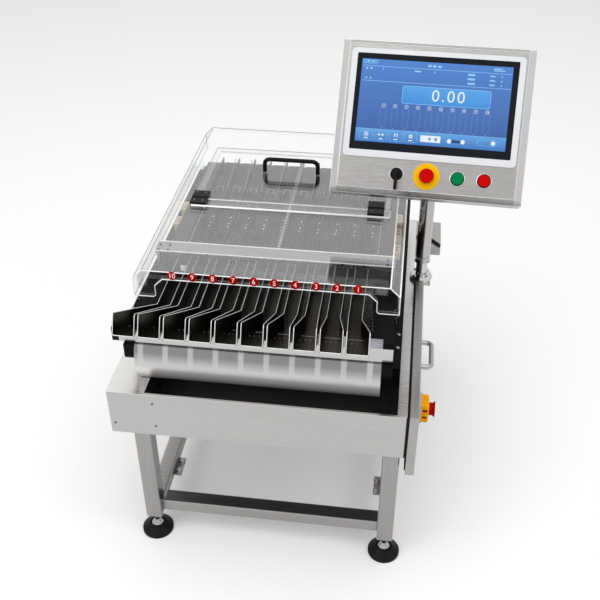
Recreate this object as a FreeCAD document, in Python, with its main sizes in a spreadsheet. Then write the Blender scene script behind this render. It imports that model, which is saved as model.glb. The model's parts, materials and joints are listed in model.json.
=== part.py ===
import FreeCAD, Part
import math
import os
import re
import Sketcher

# Multi-lane checkweigher on a square-tube stand: table with a well, ten fanned
# chutes, lane bed under a clear hood with a lifting lid, side door, screen on a pole.
# All sizes in millimetres. Build axes: x to the right, y away from the front, z up,
# with x = 0 at the middle of the table's front panel and y = 0 on its front face.

os.makedirs("parts", exist_ok=True)
doc = FreeCAD.newDocument("checkweigher")
sheet = doc.addObject("Spreadsheet::Sheet", "dims")

VALUES = [
    ("table_width", 694.0, "front panel width"),
    ("table_depth", 872.0, "table top, front to back"),
    ("table_top", 490.0, "height of the table top"),
    ("apron_height", 126.0, "height of the front panel"),
    ("table_bevel", 1.5, "folded edges of the table"),
    ("well_left", 257.0, "left edge of the opening, left of centre"),
    ("well_right", 325.0, "right edge of the opening, right of centre"),
    ("well_front", 6.0, "front edge of the opening behind the front face"),
    ("well_back", 300.0, "back edge of the opening"),
    ("well_depth", 96.0, "depth of the opening to the top of its pan"),
    ("pan_sheet", 3.0, "well pan thickness"),
    ("leg_size", 40.0, "square tube of the stand"),
    ("leg_bevel", 2.5, "bevelled corners of the square tube"),
    ("left_leg_inset", 51.6, "left legs in from the table's left end"),
    ("right_leg_inset", 9.1, "right legs in from the table's right end"),
    ("leg_front", 4.0, "front face of the legs behind the front panel"),
    ("leg_bottom", 63.5, "lower end of the legs"),
    ("rail_top", 106.0, "top of the lower rails"),
    ("rail_height", 35.0, "height of the lower rails"),
    ("front_rail_set", 24.0, "front face of the front rail"),
    ("tab_long", 62.0, "floor tab length"),
    ("tab_out", 18.0, "floor tab width"),
    ("tab_thick", 5.0, "floor tab thickness"),
    ("tab_front", 144.0, "front end of the floor tabs"),
    ("pad_dia", 80.0, "rubber foot diameter"),
    ("pad_rim", 7.0, "height of the rubber foot's upright rim"),
    ("pad_neck", 40.0, "rubber foot diameter at its top"),
    ("pad_high", 24.0, "rubber foot height"),
    ("foot_stem", 12.0, "levelling stem diameter"),
    ("foot_collar", 30.0, "levelling collar diameter"),
    ("collar_high", 11.0, "levelling collar height"),
    ("nut_across", 22.0, "lock nut across its corners"),
    ("nut_high", 8.0, "lock nut height"),
    ("seal_thick", 5.6, "black seal between table and side door"),
    ("seal_band", 12.0, "width of the seal band"),
    ("door_gap", 0.3, "side door to its seal"),
    ("door_lip", 12.0, "side door's turned-in lip"),
    ("door_thick", 20.5, "side door thickness"),
    ("door_proud", 10.0, "side door stands proud of the front panel and the table top"),
    ("door_length", 541.0, "side door, front to back"),
    ("door_high", 179.0, "side door height"),
    ("door_sheet", 2.0, "side door sheet"),
    ("door_bevel", 1.5, "folded edges of the side door"),
    ("grip_at", 334.5, "middle of the door handle from the front"),
    ("grip_span", 99.0, "door handle between leg centres"),
    ("grip_high", 405.0, "height of the door handle"),
    ("grip_out", 30.0, "door handle stand-off to the bar centre"),
    ("grip_bar", 13.0, "door handle bar diameter"),
    ("grip_bend", 12.0, "bend radius of the door handle at its centre line"),
    ("switch_at", 134.0, "middle of the isolator from the front"),
    ("switch_high", 402.0, "height of the isolator"),
    ("switch_size", 47.0, "isolator body side"),
    ("switch_deep", 26.0, "isolator body depth"),
    ("switch_bevel", 3.0, "bevelled edges of the isolator body"),
    ("switch_plate", 8.0, "isolator base plate thickness"),
    ("switch_rim", 2.5, "isolator base plate beyond the body"),
    ("knob_gap", 0.3, "isolator knob to the body"),
    ("knob_neck", 31.0, "isolator knob diameter at its neck"),
    ("knob_dia", 40.0, "isolator knob diameter"),
    ("knob_skirt", 9.0, "depth of the knob's neck"),
    ("knob_deep", 14.0, "isolator knob depth"),
    ("knob_slot", 4.0, "width and depth of the slot in the knob's face"),
    ("shelf_thick", 5.0, "pole shelf thickness"),
    ("shelf_gap", 2.0, "side door to the pole shelf"),
    ("shelf_long", 62.0, "pole shelf length"),
    ("shelf_in", 4.0, "pole shelf's outer edge in from the flange's"),
    ("pole_dia", 37.5, "screen pole diameter"),
    ("pole_out", 17.5, "pole centre beyond the table's right end"),
    ("pole_behind", 33.0, "pole centre behind the side door"),
    ("pole_top", 950.0, "top of the pole"),
    ("flange_dia", 60.0, "pole flange diameter"),
    ("flange_low", 8.0, "height of the flange's upright rim"),
    ("flange_step", 4.0, "the flange's upper rim in from the lower"),
    ("flange_thick", 15.0, "flange height"),
    ("neck_dia", 30.0, "neck between the flange and the pole's ring"),
    ("ring_high", 545.0, "underside of the ring at the pole's lower end"),
    ("ring_dia", 42.0, "ring diameter"),
    ("ring_thick", 4.0, "ring thickness"),
    ("clamp_deep", 58.0, "screen bracket, box to its back face"),
    ("clamp_wide", 56.0, "screen bracket width"),
    ("clamp_high", 74.0, "screen bracket height"),
    ("clamp_drop", 48.0, "screen bracket centre below the display centre"),
    ("clamp_side", 10.0, "screen bracket centre from the display centre"),
    ("cowl_front", 742.0, "front of the side cowl"),
    ("cowl_cut", 48.0, "the cowl's upper front is cut back this much at the table"),
    ("cowl_step", 4.0, "and this much at its outer side"),
    ("cowl_wide", 72.0, "side cowl beyond the table's right end"),
    ("cowl_low", 452.0, "underside of the side cowl"),
    ("cowl_split", 478.0, "slot between the cowl's two tiers"),
    ("cowl_slot", 2.0, "height of that slot"),
    ("cowl_top", 487.0, "top of the side cowl"),
    ("frame_in", 281.5, "inner face of the black side frames"),
    ("frame_out", 306.0, "outer face of the black side frames"),
    ("frame_front", 46.0, "front of the black side frames"),
    ("frame_low", 551.0, "underside of the black side frames"),
    ("frame_top", 614.0, "top of the black side frames"),
    ("frame_back", 900.0, "back of the black side frames"),
    ("frame_round", 14.0, "rounded lower front corner"),
    ("cheek_left", 10.5, "thickness of the left outer bracket"),
    ("cheek_right", 16.5, "thickness of the right outer bracket"),
    ("cheek_left_front", 104.0, "front of the left outer bracket"),
    ("cheek_right_front", 46.0, "front of the right outer bracket"),
    ("cheek_deep_front", 134.0, "front of the outer brackets' deep part"),
    ("cheek_lip", 24.0, "height of the outer brackets' front part"),
    ("cheek_short", 20.0, "outer brackets stop short of the side frames' back"),
    ("shoulder_in", 248.0, "inner edge of the black shoulder plates"),
    ("shoulder_front", 96.0, "front of the black shoulder plates"),
    ("shoulder_thick", 20.0, "black shoulder plate thickness"),
    ("nose_front", 56.0, "front of the right shoulder's nose over the chute bar"),
    ("nose_root", 16.0, "the nose laps onto the shoulder plate"),
    ("nose_thick", 16.0, "thickness of that nose"),
    ("prop_long", 60.0, "block under a side frame, front to back"),
    ("prop_front", 330.0, "front of the first blocks"),
    ("prop_back", 762.0, "front of the second blocks"),
    ("cover_gap", 0.3, "rounded cover to each side frame"),
    ("drum_y", 121.3, "centre line of the rounded cover behind the front"),
    ("drum_z", 549.8, "height of that line"),
    ("drum_round", 84.1, "radius of the rounded cover"),
    ("drum_low", 491.5, "lower edge of the rounded cover"),
    ("drum_top", 595.5, "upper edge of the rounded cover"),
    ("drum_flange", 54.0, "flanges turned back from its edges"),
    ("drum_sheet", 2.0, "rounded cover sheet"),
    ("bar_left", 317.0, "left end of the chute bar"),
    ("bar_right", 305.0, "right end of the chute bar"),
    ("bar_front", 55.0, "front of the chute bar"),
    ("bar_size", 38.0, "chute bar, square"),
    ("bar_bevel", 2.0, "bevelled corners of the chute bar"),
    ("bar_wall", 2.0, "chute bar wall"),
    ("bar_cap", 3.0, "cap that closes the right end"),
    ("bar_gap", 0.3, "chute bar to the notch behind it"),
    ("plug_long", 16.0, "black plug outside the left end"),
    ("plug_root", 12.0, "black plug inside the left end"),
    ("plug_bevel", 3.0, "bevelled edges of the black plug"),
    ("lane_pitch", 48.0, "lane to lane"),
    ("mouth_pitch", 58.1, "chute mouth to chute mouth"),
    ("mouth_shift", 34.0, "mouths sit this far left of the lanes"),
    ("chute_narrow", 31.5, "outside width of a chute at the lane"),
    ("chute_wide", 51.0, "outside width of a chute at the mouth"),
    ("chute_sheet", 1.5, "chute sheet"),
    ("chute_high", 45.0, "chute wall height"),
    ("chute_base", 634.5, "underside of the chutes, on the bar"),
    ("chute_mouth", 27.0, "foremost line of the chute floors"),
    ("chute_slant", 22.0, "walls lean back this much at the mouth"),
    ("chute_corner", 3.0, "cut upper corner of a wall at the mouth"),
    ("chute_knee", 51.0, "the mouth's straight walls end here"),
    ("chute_bend", 97.0, "where the walls meet the lane"),
    ("chute_back", 300.0, "back end of the chutes"),
    ("hood_half", 311.5, "half width of the hood"),
    ("hood_slope", 22.9, "width of the hood's bevel"),
    ("hood_top", 712.0, "top of the hood"),
    ("hood_bevel", 23.0, "height of the hood's bevel"),
    ("hood_low", 640.0, "lower edge of the hood"),
    ("hood_front", 178.0, "front of the hood"),
    ("hood_back", 966.0, "back of the hood"),
    ("hood_sheet", 5.0, "clear sheet"),
    ("hood_foot", 12.0, "hood foot width"),
    ("hood_foot_long", 24.0, "hood foot, front to back"),
    ("foot_gap", 0.5, "shoulder plate to the hood feet"),
    ("brow_low", 691.0, "lower edge of the numbered strip"),
    ("brow_half", 240.5, "half width of that edge"),
    ("step_half", 260.0, "half width of the notch"),
    ("step_low", 672.0, "top of the notch's upright"),
    ("step_cut", 5.0, "cut corner at the foot of the upright"),
    ("lid_left", 243.0, "left edge of the lid"),
    ("lid_right", 271.0, "right edge of the lid"),
    ("lid_front", 522.0, "front edge of the lid"),
    ("lid_back", 822.0, "back edge of the lid"),
    ("lid_lap", 12.0, "lid laps over the opening"),
    ("lid_gap", 0.5, "lid above the hood"),
    ("strip_front", 487.0, "front of the raised hinge strip"),
    ("strip_gap", 2.0, "hinge strip to the lid"),
    ("hinge_left", 226.0, "left hinge centre, left of the middle"),
    ("hinge_right", 234.0, "right hinge centre"),
    ("hinge_wide", 42.0, "hinge width"),
    ("hinge_leaf", 32.0, "hinge leaf length"),
    ("hinge_thick", 6.0, "hinge leaf thickness"),
    ("hinge_pin", 8.0, "hinge knuckle diameter"),
    ("hinge_gap", 0.3, "half the gap between two knuckles"),
    ("pull_at", 695.0, "lid handle from the front"),
    ("pull_centre", -10.0, "lid handle centre"),
    ("pull_span", 146.5, "lid handle between leg centres"),
    ("pull_up", 36.5, "lid handle bar centre above the lid"),
    ("pull_bar", 11.5, "lid handle bar diameter"),
    ("pull_bend", 14.0, "bend radius of the lid handle at its centre line"),
    ("beam_front", 305.0, "front of the cross strip"),
    ("beam_back", 352.0, "back of the cross strip"),
    ("beam_top", 686.0, "top of the cross strip"),
    ("beam_thick", 4.0, "cross strip thickness"),
    ("beam_half", 294.0, "half width of the cross strip"),
    ("post_wide", 8.0, "post under the cross strip"),
    ("post_long", 24.0, "post, front to back"),
    ("post_set", 12.0, "post behind the front of the cross strip"),
    ("bed_front", 356.0, "front of the lane bed"),
    ("bed_back", 880.0, "back of the lane bed"),
    ("bed_top", 640.0, "top of the lane bed"),
    ("bed_lap", 6.2, "lane bed laps onto each side frame"),
    ("belt_wide", 34.0, "lane belt width"),
    ("belt_thick", 4.0, "lane belt thickness"),
    ("belt_inset", 4.0, "lane belts in from the ends of the bed"),
    ("wall_high", 18.0, "lane wall above the bed"),
    ("wall_thick", 3.0, "lane wall thickness"),
    ("fin_front", 680.0, "front of the clear dividers"),
    ("fin_back", 815.0, "back of the clear dividers"),
    ("fin_high", 50.0, "clear dividers above the bed"),
    ("fin_step", 20.0, "height of the dividers' front edge"),
    ("fin_flat", 14.0, "flat top of the dividers"),
    ("fin_thick", 2.0, "divider thickness"),
    ("fin_gap", 0.2, "divider to its lane wall"),
    ("spine_wide", 12.0, "centre rail width"),
    ("spine_high", 24.0, "centre rail above the bed"),
    ("spine_short", 20.0, "centre rail stops short of the bed's back"),
    ("block_wide", 16.0, "sensor block width"),
    ("block_long", 44.0, "sensor block length"),
    ("block_high", 20.0, "sensor block height"),
    ("block_gap", 0.3, "sensor block to the lane bed"),
    ("block_l1", 520.0, "first left sensor block"),
    ("block_l2", 600.0, "second left sensor block"),
    ("block_r1", 450.0, "first right sensor block"),
    ("block_r2", 530.0, "second right sensor block"),
    ("block_r3", 605.0, "third right sensor block"),
    ("screen_right", 6.0, "screen centre right of the table's right end"),
    ("screen_y", 482.0, "screen centre behind the front"),
    ("screen_z", 1025.6, "screen centre height"),
    ("screen_tilt", 34.3, "screen leans back, degrees"),
    ("screen_yaw", -2.7, "screen turned, degrees"),
    ("box_wide", 445.3, "screen box width"),
    ("box_high", 358.6, "screen box height"),
    ("box_deep", 80.0, "screen box depth"),
    ("box_drop", 35.8, "screen box centre below the display centre"),
    ("rim_side", 18.0, "width of the box's front bevel at its sides"),
    ("rim_level", 12.0, "width of the box's front bevel at top and bottom"),
    ("rim_deep", 20.0, "depth of that bevel"),
    ("bezel_wide", 397.8, "silver surround width"),
    ("bezel_high", 251.1, "silver surround height"),
    ("bezel_drop", 5.7, "silver surround centre below the display centre"),
    ("bezel_side", 1.1, "silver surround centre from the display centre"),
    ("bezel_out", 4.0, "silver surround stands out"),
    ("bezel_round", 10.0, "corner radius of the surround"),
    ("glass_wide", 370.7, "black glass width"),
    ("glass_high", 223.7, "black glass height"),
    ("glass_drop", 3.2, "black glass centre below the display centre"),
    ("glass_in", 1.0, "black glass behind the surround's face"),
    ("glass_gap", 0.2, "black glass to the surround"),
    ("glass_bevel", 2.0, "cut corners of the glass"),
    ("button_line", 166.5, "controls below the display centre"),
    ("key_side", -67.4, "key switch from the display centre"),
    ("stop_side", 1.8, "emergency stop from the display centre"),
    ("go_side", 72.2, "green button from the display centre"),
    ("halt_side", 132.8, "red button from the display centre"),
    ("stop_ring", 61.5, "yellow ring diameter"),
    ("ring_plate", 4.0, "yellow ring thickness"),
    ("stop_stem", 22.0, "stop stem diameter"),
    ("stop_seat", 4.5, "stop stem starts this far from the box face"),
    ("stop_under", 14.0, "underside of the mushroom"),
    ("stop_head", 35.0, "red mushroom diameter"),
    ("stop_crown", 31.0, "mushroom diameter at its crown"),
    ("stop_out", 26.0, "front of the mushroom"),
    ("push_cap", 27.5, "push button diameter"),
    ("push_gap", 0.3, "push button to its bezel, all round"),
    ("push_ring", 32.0, "push button bezel diameter"),
    ("push_lip", 8.0, "push button bezel stands out"),
    ("push_seat", 3.5, "push button starts this far from the box face"),
    ("push_out", 11.0, "push button's face"),
    ("key_ring", 29.5, "key switch diameter"),
    ("key_out", 9.0, "key switch stands out"),
    ("key_thick", 7.0, "key thickness"),
    ("key_long", 18.0, "key stands out"),
    ("key_tail", 38.0, "key below the switch centre"),
    ("key_gap", 0.3, "key to the switch face"),
]
NAMES = {}
for row, (alias, value, note) in enumerate(VALUES, start=1):
    sheet.set("A%d" % row, str(value))
    sheet.setAlias("A%d" % row, alias)
    sheet.set("B%d" % row, note)
    NAMES[alias] = value
trial = doc.addObject("Spreadsheet::Sheet", "trial")
doc.recompute()


def q(expr):
    """Spreadsheet expression from plain alias names."""

    def swap(m):
        word = m.group(0)
        return "dims." + word if word in NAMES else word

    return re.sub(r"[a-z_][a-z0-9_]*", swap, str(expr))


def number(expr):
    """Present value of an expression, where geometry has to be drawn before it is bound."""
    trial.set("A1", "=" + q(expr))
    trial.recompute()
    return float(trial.get("A1"))


def ex(obj, prop, expr):
    obj.setExpression(prop, q(expr))


def at(obj, x, y, z):
    ex(obj, ".Placement.Base.x", x)
    ex(obj, ".Placement.Base.y", y)
    ex(obj, ".Placement.Base.z", z)
    return obj


# Part workbench pieces

TURN = {
    "z": FreeCAD.Rotation(),
    "x": FreeCAD.Rotation(FreeCAD.Vector(0, 1, 0), 90),
    "y": FreeCAD.Rotation(FreeCAD.Vector(1, 0, 0), -90),
    "front": FreeCAD.Rotation(FreeCAD.Vector(1, 0, 0), 90),
}
PLANE = {
    "xy": FreeCAD.Rotation(),
    "yz": FreeCAD.Rotation(FreeCAD.Vector(1, 1, 1), 120),
    "xz": FreeCAD.Rotation(FreeCAD.Vector(1, 0, 0), 90),
}
PUSH = {
    "xy": FreeCAD.Vector(0, 0, 1),
    "yz": FreeCAD.Vector(1, 0, 0),
    "xz": FreeCAD.Vector(0, 1, 0),
}
BASE = {"xy": "z", "yz": "x", "xz": "y"}


def box(name, x, y, z, lx, ly, lz):
    o = doc.addObject("Part::Box", name)
    ex(o, "Length", lx)
    ex(o, "Width", ly)
    ex(o, "Height", lz)
    return at(o, x, y, z)


def rod(name, axis, x, y, z, dia, length):
    o = doc.addObject("Part::Cylinder", name)
    o.Placement = FreeCAD.Placement(FreeCAD.Vector(), TURN[axis])
    ex(o, "Radius", "(%s)/2" % dia)
    ex(o, "Height", length)
    return at(o, x, y, z)


def outline(sk, points):
    """Closed outline of straight lines; each corner is bound to the sheet."""
    first = sk.GeometryCount
    n = len(points)
    spots = [FreeCAD.Vector(number(u), number(v), 0) for u, v in points]
    for i in range(n):
        sk.addGeometry(Part.LineSegment(spots[i], spots[(i + 1) % n]), False)
    for i in range(n):
        sk.addConstraint(Sketcher.Constraint("Coincident", first + i, 2,
                                             first + (i + 1) % n, 1))
    for i, (u, v) in enumerate(points):
        pin(sk, first + i, 1, u, v)


def pin(sk, geo, end, u, v):
    """Hold one end of a sketch line or arc at a place from the sheet."""
    a = sk.addConstraint(Sketcher.Constraint("DistanceX", -1, 1, geo, end, number(u)))
    b = sk.addConstraint(Sketcher.Constraint("DistanceY", -1, 1, geo, end, number(v)))
    sk.setExpression("Constraints[%d]" % a, q(u))
    sk.setExpression("Constraints[%d]" % b, q(v))


def spot(u, v):
    return FreeCAD.Vector(number(u), number(v), 0)


def line(sk, start, end):
    return sk.addGeometry(Part.LineSegment(spot(*start), spot(*end)), False)


def arc(sk, centre, radius, low, high):
    """Arc from one angle to another, anticlockwise, with its radius bound."""
    circle = Part.Circle(spot(*centre), FreeCAD.Vector(0, 0, 1), number(radius))
    geo = sk.addGeometry(Part.ArcOfCircle(circle, math.radians(low), math.radians(high)), False)
    c = sk.addConstraint(Sketcher.Constraint("Radius", geo, number(radius)))
    sk.setExpression("Constraints[%d]" % c, q(radius))
    return geo


def join(sk, a, a_end, b, b_end):
    sk.addConstraint(Sketcher.Constraint("Coincident", a, a_end, b, b_end))


def free_sketch(name, plane, start):
    sk = doc.addObject("Sketcher::SketchObject", name)
    sk.Placement = FreeCAD.Placement(FreeCAD.Vector(), PLANE[plane])
    ex(sk, ".Placement.Base." + BASE[plane], start)
    return sk


def extrude(name, sk, plane, length):
    o = doc.addObject("Part::Extrusion", name)
    o.Base = sk
    o.DirMode = "Custom"
    o.Dir = PUSH[plane]
    o.Solid = True
    ex(o, "LengthFwd", length)
    return o


def poly(name, plane, start, length, points):
    """Prism on a closed outline."""
    sk = free_sketch(name + "_outline", plane, start)
    outline(sk, points)
    return extrude(name, sk, plane, length)


def fuse(name, *parts):
    if len(parts) == 1:
        return parts[0]
    o = doc.addObject("Part::MultiFuse", name)
    o.Shapes = list(parts)
    return o


def cut(name, base, *tools):
    o = doc.addObject("Part::Cut", name)
    o.Base = base
    o.Tool = fuse(name + "_tools", *tools)
    return o


# PartDesign pieces

ROLE = {"xy": "XY_Plane", "yz": "YZ_Plane", "xz": "XZ_Plane"}


def sketch(owner, name, plane, place):
    """Sketch on one of the body's own planes, at a place along the plane's axis."""
    sk = owner.newObject("Sketcher::SketchObject", name)
    face = [f for f in owner.Origin.OriginFeatures if f.Role == ROLE[plane]][0]
    sk.AttachmentSupport = [(face, "")]
    sk.MapMode = "FlatFace"
    sign = "-" if plane == "xz" else ""
    ex(sk, ".AttachmentOffset.Base.z", "%s(%s)" % (sign, place))
    return sk


def push(owner, kind, name, sk, length, plane, forward=True):
    """Pad or Pocket along the plane's own axis, forward meaning towards larger values."""
    o = owner.newObject("PartDesign::" + kind, name)
    o.Profile = sk
    ex(o, "Length", length)
    ahead = forward != (plane == "xz")
    o.Reversed = ahead if kind == "Pocket" else not ahead
    return o


def pad(owner, name, sk, length, plane):
    return push(owner, "Pad", name, sk, length, plane)


def pocket(owner, name, sk, length, plane):
    return push(owner, "Pocket", name, sk, length, plane)


def edges_of(feature, tests):
    """Names of the feature's straight edges that pass every test."""
    doc.recompute()
    names = []
    for i, e in enumerate(feature.Shape.Edges, start=1):
        if len(e.Vertexes) == 2 and all(t(e) for t in tests):
            names.append("Edge%d" % i)
    return names


def fillet(owner, name, feature, radius, *tests):
    o = owner.newObject("PartDesign::Fillet", name)
    o.Base = (feature, edges_of(feature, tests))
    ex(o, "Radius", radius)
    return o


def chamfer(owner, name, feature, size, *tests):
    o = owner.newObject("PartDesign::Chamfer", name)
    o.Base = (feature, edges_of(feature, tests))
    ex(o, "Size", size)
    return o


def along(axis):
    """Edges parallel to an axis."""
    i = "xyz".index(axis)

    def test(e):
        d = e.Vertexes[1].Point - e.Vertexes[0].Point
        return abs(d[i]) > 0.999 * d.Length

    return test


def level(axis, expr):
    """Edges whose middle lies at a value of one axis."""
    i = "xyz".index(axis)
    value = number(expr)

    def test(e):
        return abs((e.Vertexes[0].Point[i] + e.Vertexes[1].Point[i]) / 2 - value) < 0.01

    return test


def flat_block(name, plane, start, length, points, size=None, edge=chamfer):
    """Body with one pad on a straight outline, its long edges bevelled if asked."""
    b = doc.addObject("PartDesign::Body", name)
    sk = sketch(b, name + "_outline", plane, start)
    outline(sk, points)
    f = pad(b, name + "_pad", sk, length, plane)
    if size:
        edge(b, name + "_edges", f, size, along(BASE[plane]))
    return b


def corners(u0, v0, u1, v1):
    return [(u0, v0), (u1, v0), (u1, v1), (u0, v1)]


def bar(name, axis, x, y, z, lx, ly, lz, bevel):
    """Square or flat bar with its long edges bevelled."""
    plane = {"x": "yz", "y": "xz", "z": "xy"}[axis]
    low = {"x": x, "y": y, "z": z}
    size = {"x": lx, "y": ly, "z": lz}
    u, v = plane[0], plane[1]
    points = corners(low[u], low[v], "%s + %s" % (low[u], size[u]),
                     "%s + %s" % (low[v], size[v]))
    return flat_block(name, plane, low[axis], size[axis], points, bevel)


def turned(name, x, y, z, profile, facing="z"):
    """Revolved piece; the profile is a list of radius and height along its axis."""
    b = doc.addObject("PartDesign::Body", name)
    b.Placement = FreeCAD.Placement(FreeCAD.Vector(), TURN[facing])
    sk = sketch(b, name + "_profile", "xz", "0")
    outline(sk, profile)
    o = b.newObject("PartDesign::Revolution", name + "_turn")
    o.Profile = sk
    o.ReferenceAxis = (sk, ["V_Axis"])
    o.Angle = 360
    return at(b, x, y, z)


NODES = []


def node(label, *parts):
    """One named piece, or several like pieces on one body."""
    if len(parts) == 1:
        o = parts[0]
    else:
        o = doc.addObject("Part::Compound", label + "_set")
        o.Links = list(parts)
    o.Label = label
    NODES.append((label, o))
    return o


# Stand: four square legs on levelling feet, lower rails and floor tabs

LEG_L = "-table_width/2 + left_leg_inset"
LEG_R = "table_width/2 - right_leg_inset - leg_size"
LEG_B = "table_depth - leg_front - leg_size"
LEG_H = "table_top - apron_height - leg_bottom"
legs = []
pads = []
stems = []
for tag, lx, ly in (("fl", LEG_L, "leg_front"), ("fr", LEG_R, "leg_front"),
                    ("bl", LEG_L, LEG_B), ("br", LEG_R, LEG_B)):
    legs.append(bar("leg_" + tag, "z", lx, ly, "leg_bottom", "leg_size", "leg_size", LEG_H,
                    "leg_bevel"))
    cx = "%s + leg_size/2" % lx
    cy = "%s + leg_size/2" % ly
    pads.append(turned("pad_" + tag, cx, cy, "0", [
        ("0", "0"), ("pad_dia/2", "0"), ("pad_dia/2", "pad_rim"), ("pad_neck/2", "pad_high"),
        ("0", "pad_high")]))
    stem = turned("stem_" + tag, cx, cy, "pad_high", [
        ("0", "0"), ("foot_collar/2", "0"), ("foot_stem/2", "collar_high"),
        ("foot_stem/2", "leg_bottom - pad_high"),
        ("0", "leg_bottom - pad_high")])
    half = "nut_across/4"
    flat = "nut_across*%.6f" % (math.sqrt(3) / 4)
    nut = poly("nut_" + tag, "xy", "leg_bottom - nut_high", "nut_high", [
        ("%s + nut_across/2" % cx, cy), ("%s + %s" % (cx, half), "%s + %s" % (cy, flat)),
        ("%s - %s" % (cx, half), "%s + %s" % (cy, flat)), ("%s - nut_across/2" % cx, cy),
        ("%s - %s" % (cx, half), "%s - %s" % (cy, flat)),
        ("%s + %s" % (cx, half), "%s - %s" % (cy, flat))])
    stems.append(fuse("foot_stem_" + tag, stem, nut))
node("legs", *legs)
node("foot_pads", *pads)
node("foot_stems", *stems)

RAIL_Z = "rail_top - rail_height"
IN_L = "%s + leg_size" % LEG_L
IN_W = "table_width - left_leg_inset - right_leg_inset - 2*leg_size"
rails = [bar("front_rail_bar", "x", IN_L, "front_rail_set", RAIL_Z, IN_W, "leg_size",
             "rail_height", "leg_bevel"),
         bar("back_rail_bar", "x", IN_L, LEG_B, RAIL_Z, IN_W, "leg_size", "rail_height",
             "leg_bevel")]
for tag, lx in (("l", LEG_L), ("r", LEG_R)):
    rails.append(bar("side_rail_" + tag, "y", lx, "leg_front + leg_size", RAIL_Z,
                     "leg_size", "table_depth - 2*leg_front - 2*leg_size", "rail_height",
                     "leg_bevel"))
node("lower_rails", *rails)
tabs = []
for tag, lx in (("l", IN_L), ("r", "%s - tab_out" % LEG_R)):
    tabs.append(box("tab_" + tag, lx, "tab_front", RAIL_Z, "tab_out", "tab_long", "tab_thick"))
node("floor_tabs", *tabs)

# Table body: a padded block with folded edges and a pocket for the well

APRON_Z = "table_top - apron_height"
table = doc.addObject("PartDesign::Body", "table")
sk = sketch(table, "table_plan", "xy", APRON_Z)
outline(sk, corners("-table_width/2", "0", "table_width/2", "table_depth"))
block = pad(table, "table_pad", sk, "apron_height", "xy")
chamfer(table, "table_folds", block, "table_bevel", along("z"))
sk = sketch(table, "well_plan", "xy", "table_top - well_depth - pan_sheet")
outline(sk, corners("-well_left", "well_front", "well_right", "well_back"))
pocket(table, "well_pocket", sk, "well_depth + pan_sheet", "xy")
node("table_body", table)
node("well_pan", box("well_pan_box", "-well_left", "well_front",
                     "table_top - well_depth - pan_sheet", "well_left + well_right",
                     "well_back - well_front", "pan_sheet"))

# Side door on its seal, with a bent handle and the isolator

SIDE_X = "table_width/2"
DOOR_X = "table_width/2 + seal_thick"
FACE_X = "table_width/2 + seal_thick + door_thick"
DOOR_Y = "-door_proud"
DOOR_Z = "table_top + door_proud - door_high"
DOOR_BACK = "door_length - door_proud"
seal_out = box("seal_outer", SIDE_X, "0", APRON_Z, "seal_thick - door_gap", DOOR_BACK,
               "apron_height")
seal_in = box("seal_inner", "%s - 1" % SIDE_X, "seal_band", APRON_Z + " + seal_band",
              "seal_thick + 2", DOOR_BACK + " - 2*seal_band", "apron_height - 2*seal_band")
node("door_seal", cut("seal_cut", seal_out, seal_in))
door = doc.addObject("PartDesign::Body", "door")
sk = sketch(door, "door_outline", "yz", DOOR_X)
outline(sk, corners(DOOR_Y, DOOR_Z, DOOR_BACK, DOOR_Z + " + door_high"))
slab = pad(door, "door_pad", sk, "door_thick", "yz")
chamfer(door, "door_folds", slab, "door_bevel", level("x", FACE_X))
sk = sketch(door, "door_inside", "yz", DOOR_X)
outline(sk, corners(DOOR_Y + " + door_lip", DOOR_Z + " + door_lip",
                    DOOR_BACK + " - door_lip", DOOR_Z + " + door_high - door_lip"))
pocket(door, "door_hollow", sk, "door_thick - door_sheet", "yz")
node("side_door", door)


CHORDS = 3


def bent_points(foot, top, a, b, radius):
    """Handle's centre line, out and across: two legs, a bar, and corners of short chords."""
    points = [(foot, a)]
    for i in range(CHORDS + 1):
        turn = 90 * i / CHORDS
        points.append(("%s - %s*(1 - sin(%g))" % (top, radius, turn),
                       "%s + %s*(1 - cos(%g))" % (a, radius, turn)))
    for i in range(CHORDS + 1):
        turn = 90 - 90 * i / CHORDS
        points.append(("%s - %s*(1 - sin(%g))" % (top, radius, turn),
                       "%s - %s*(1 - cos(%g))" % (b, radius, turn)))
    return points + [(foot, b)]


def handle(name, dia, plane, place, points, end_plane, end_place, end):
    """Round bar swept along an open path that starts square to the end plane."""
    owner = doc.addObject("PartDesign::Body", name)
    path = sketch(owner, name + "_path", plane, place)
    lines = []
    for i in range(len(points) - 1):
        lines.append(line(path, points[i], points[i + 1]))
        pin(path, lines[-1], 2, *points[i + 1])
    pin(path, lines[0], 1, *points[0])
    for i in range(1, len(lines)):
        join(path, lines[i], 1, lines[i - 1], 2)
    ring = sketch(owner, name + "_section", end_plane, end_place)
    circle = Part.Circle(spot(*end), FreeCAD.Vector(0, 0, 1), number(dia) / 2)
    geo = ring.addGeometry(circle, False)
    c = ring.addConstraint(Sketcher.Constraint("Diameter", geo, number(dia)))
    ring.setExpression("Constraints[%d]" % c, q(dia))
    pin(ring, geo, 3, *end)
    o = owner.newObject("PartDesign::AdditivePipe", name + "_sweep")
    o.Profile = ring
    o.Spine = (path, ["Edge%d" % i for i in range(1, len(lines) + 1)])
    o.Transition = "Right corner"
    return owner


GRIP_A = "grip_at - grip_span/2"
node("door_handle", handle(
    "grip", "grip_bar", "xy", "grip_high",
    bent_points(FACE_X, FACE_X + " + grip_out", GRIP_A, "grip_at + grip_span/2", "grip_bend"),
    "yz", FACE_X, (GRIP_A, "grip_high")))

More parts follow.
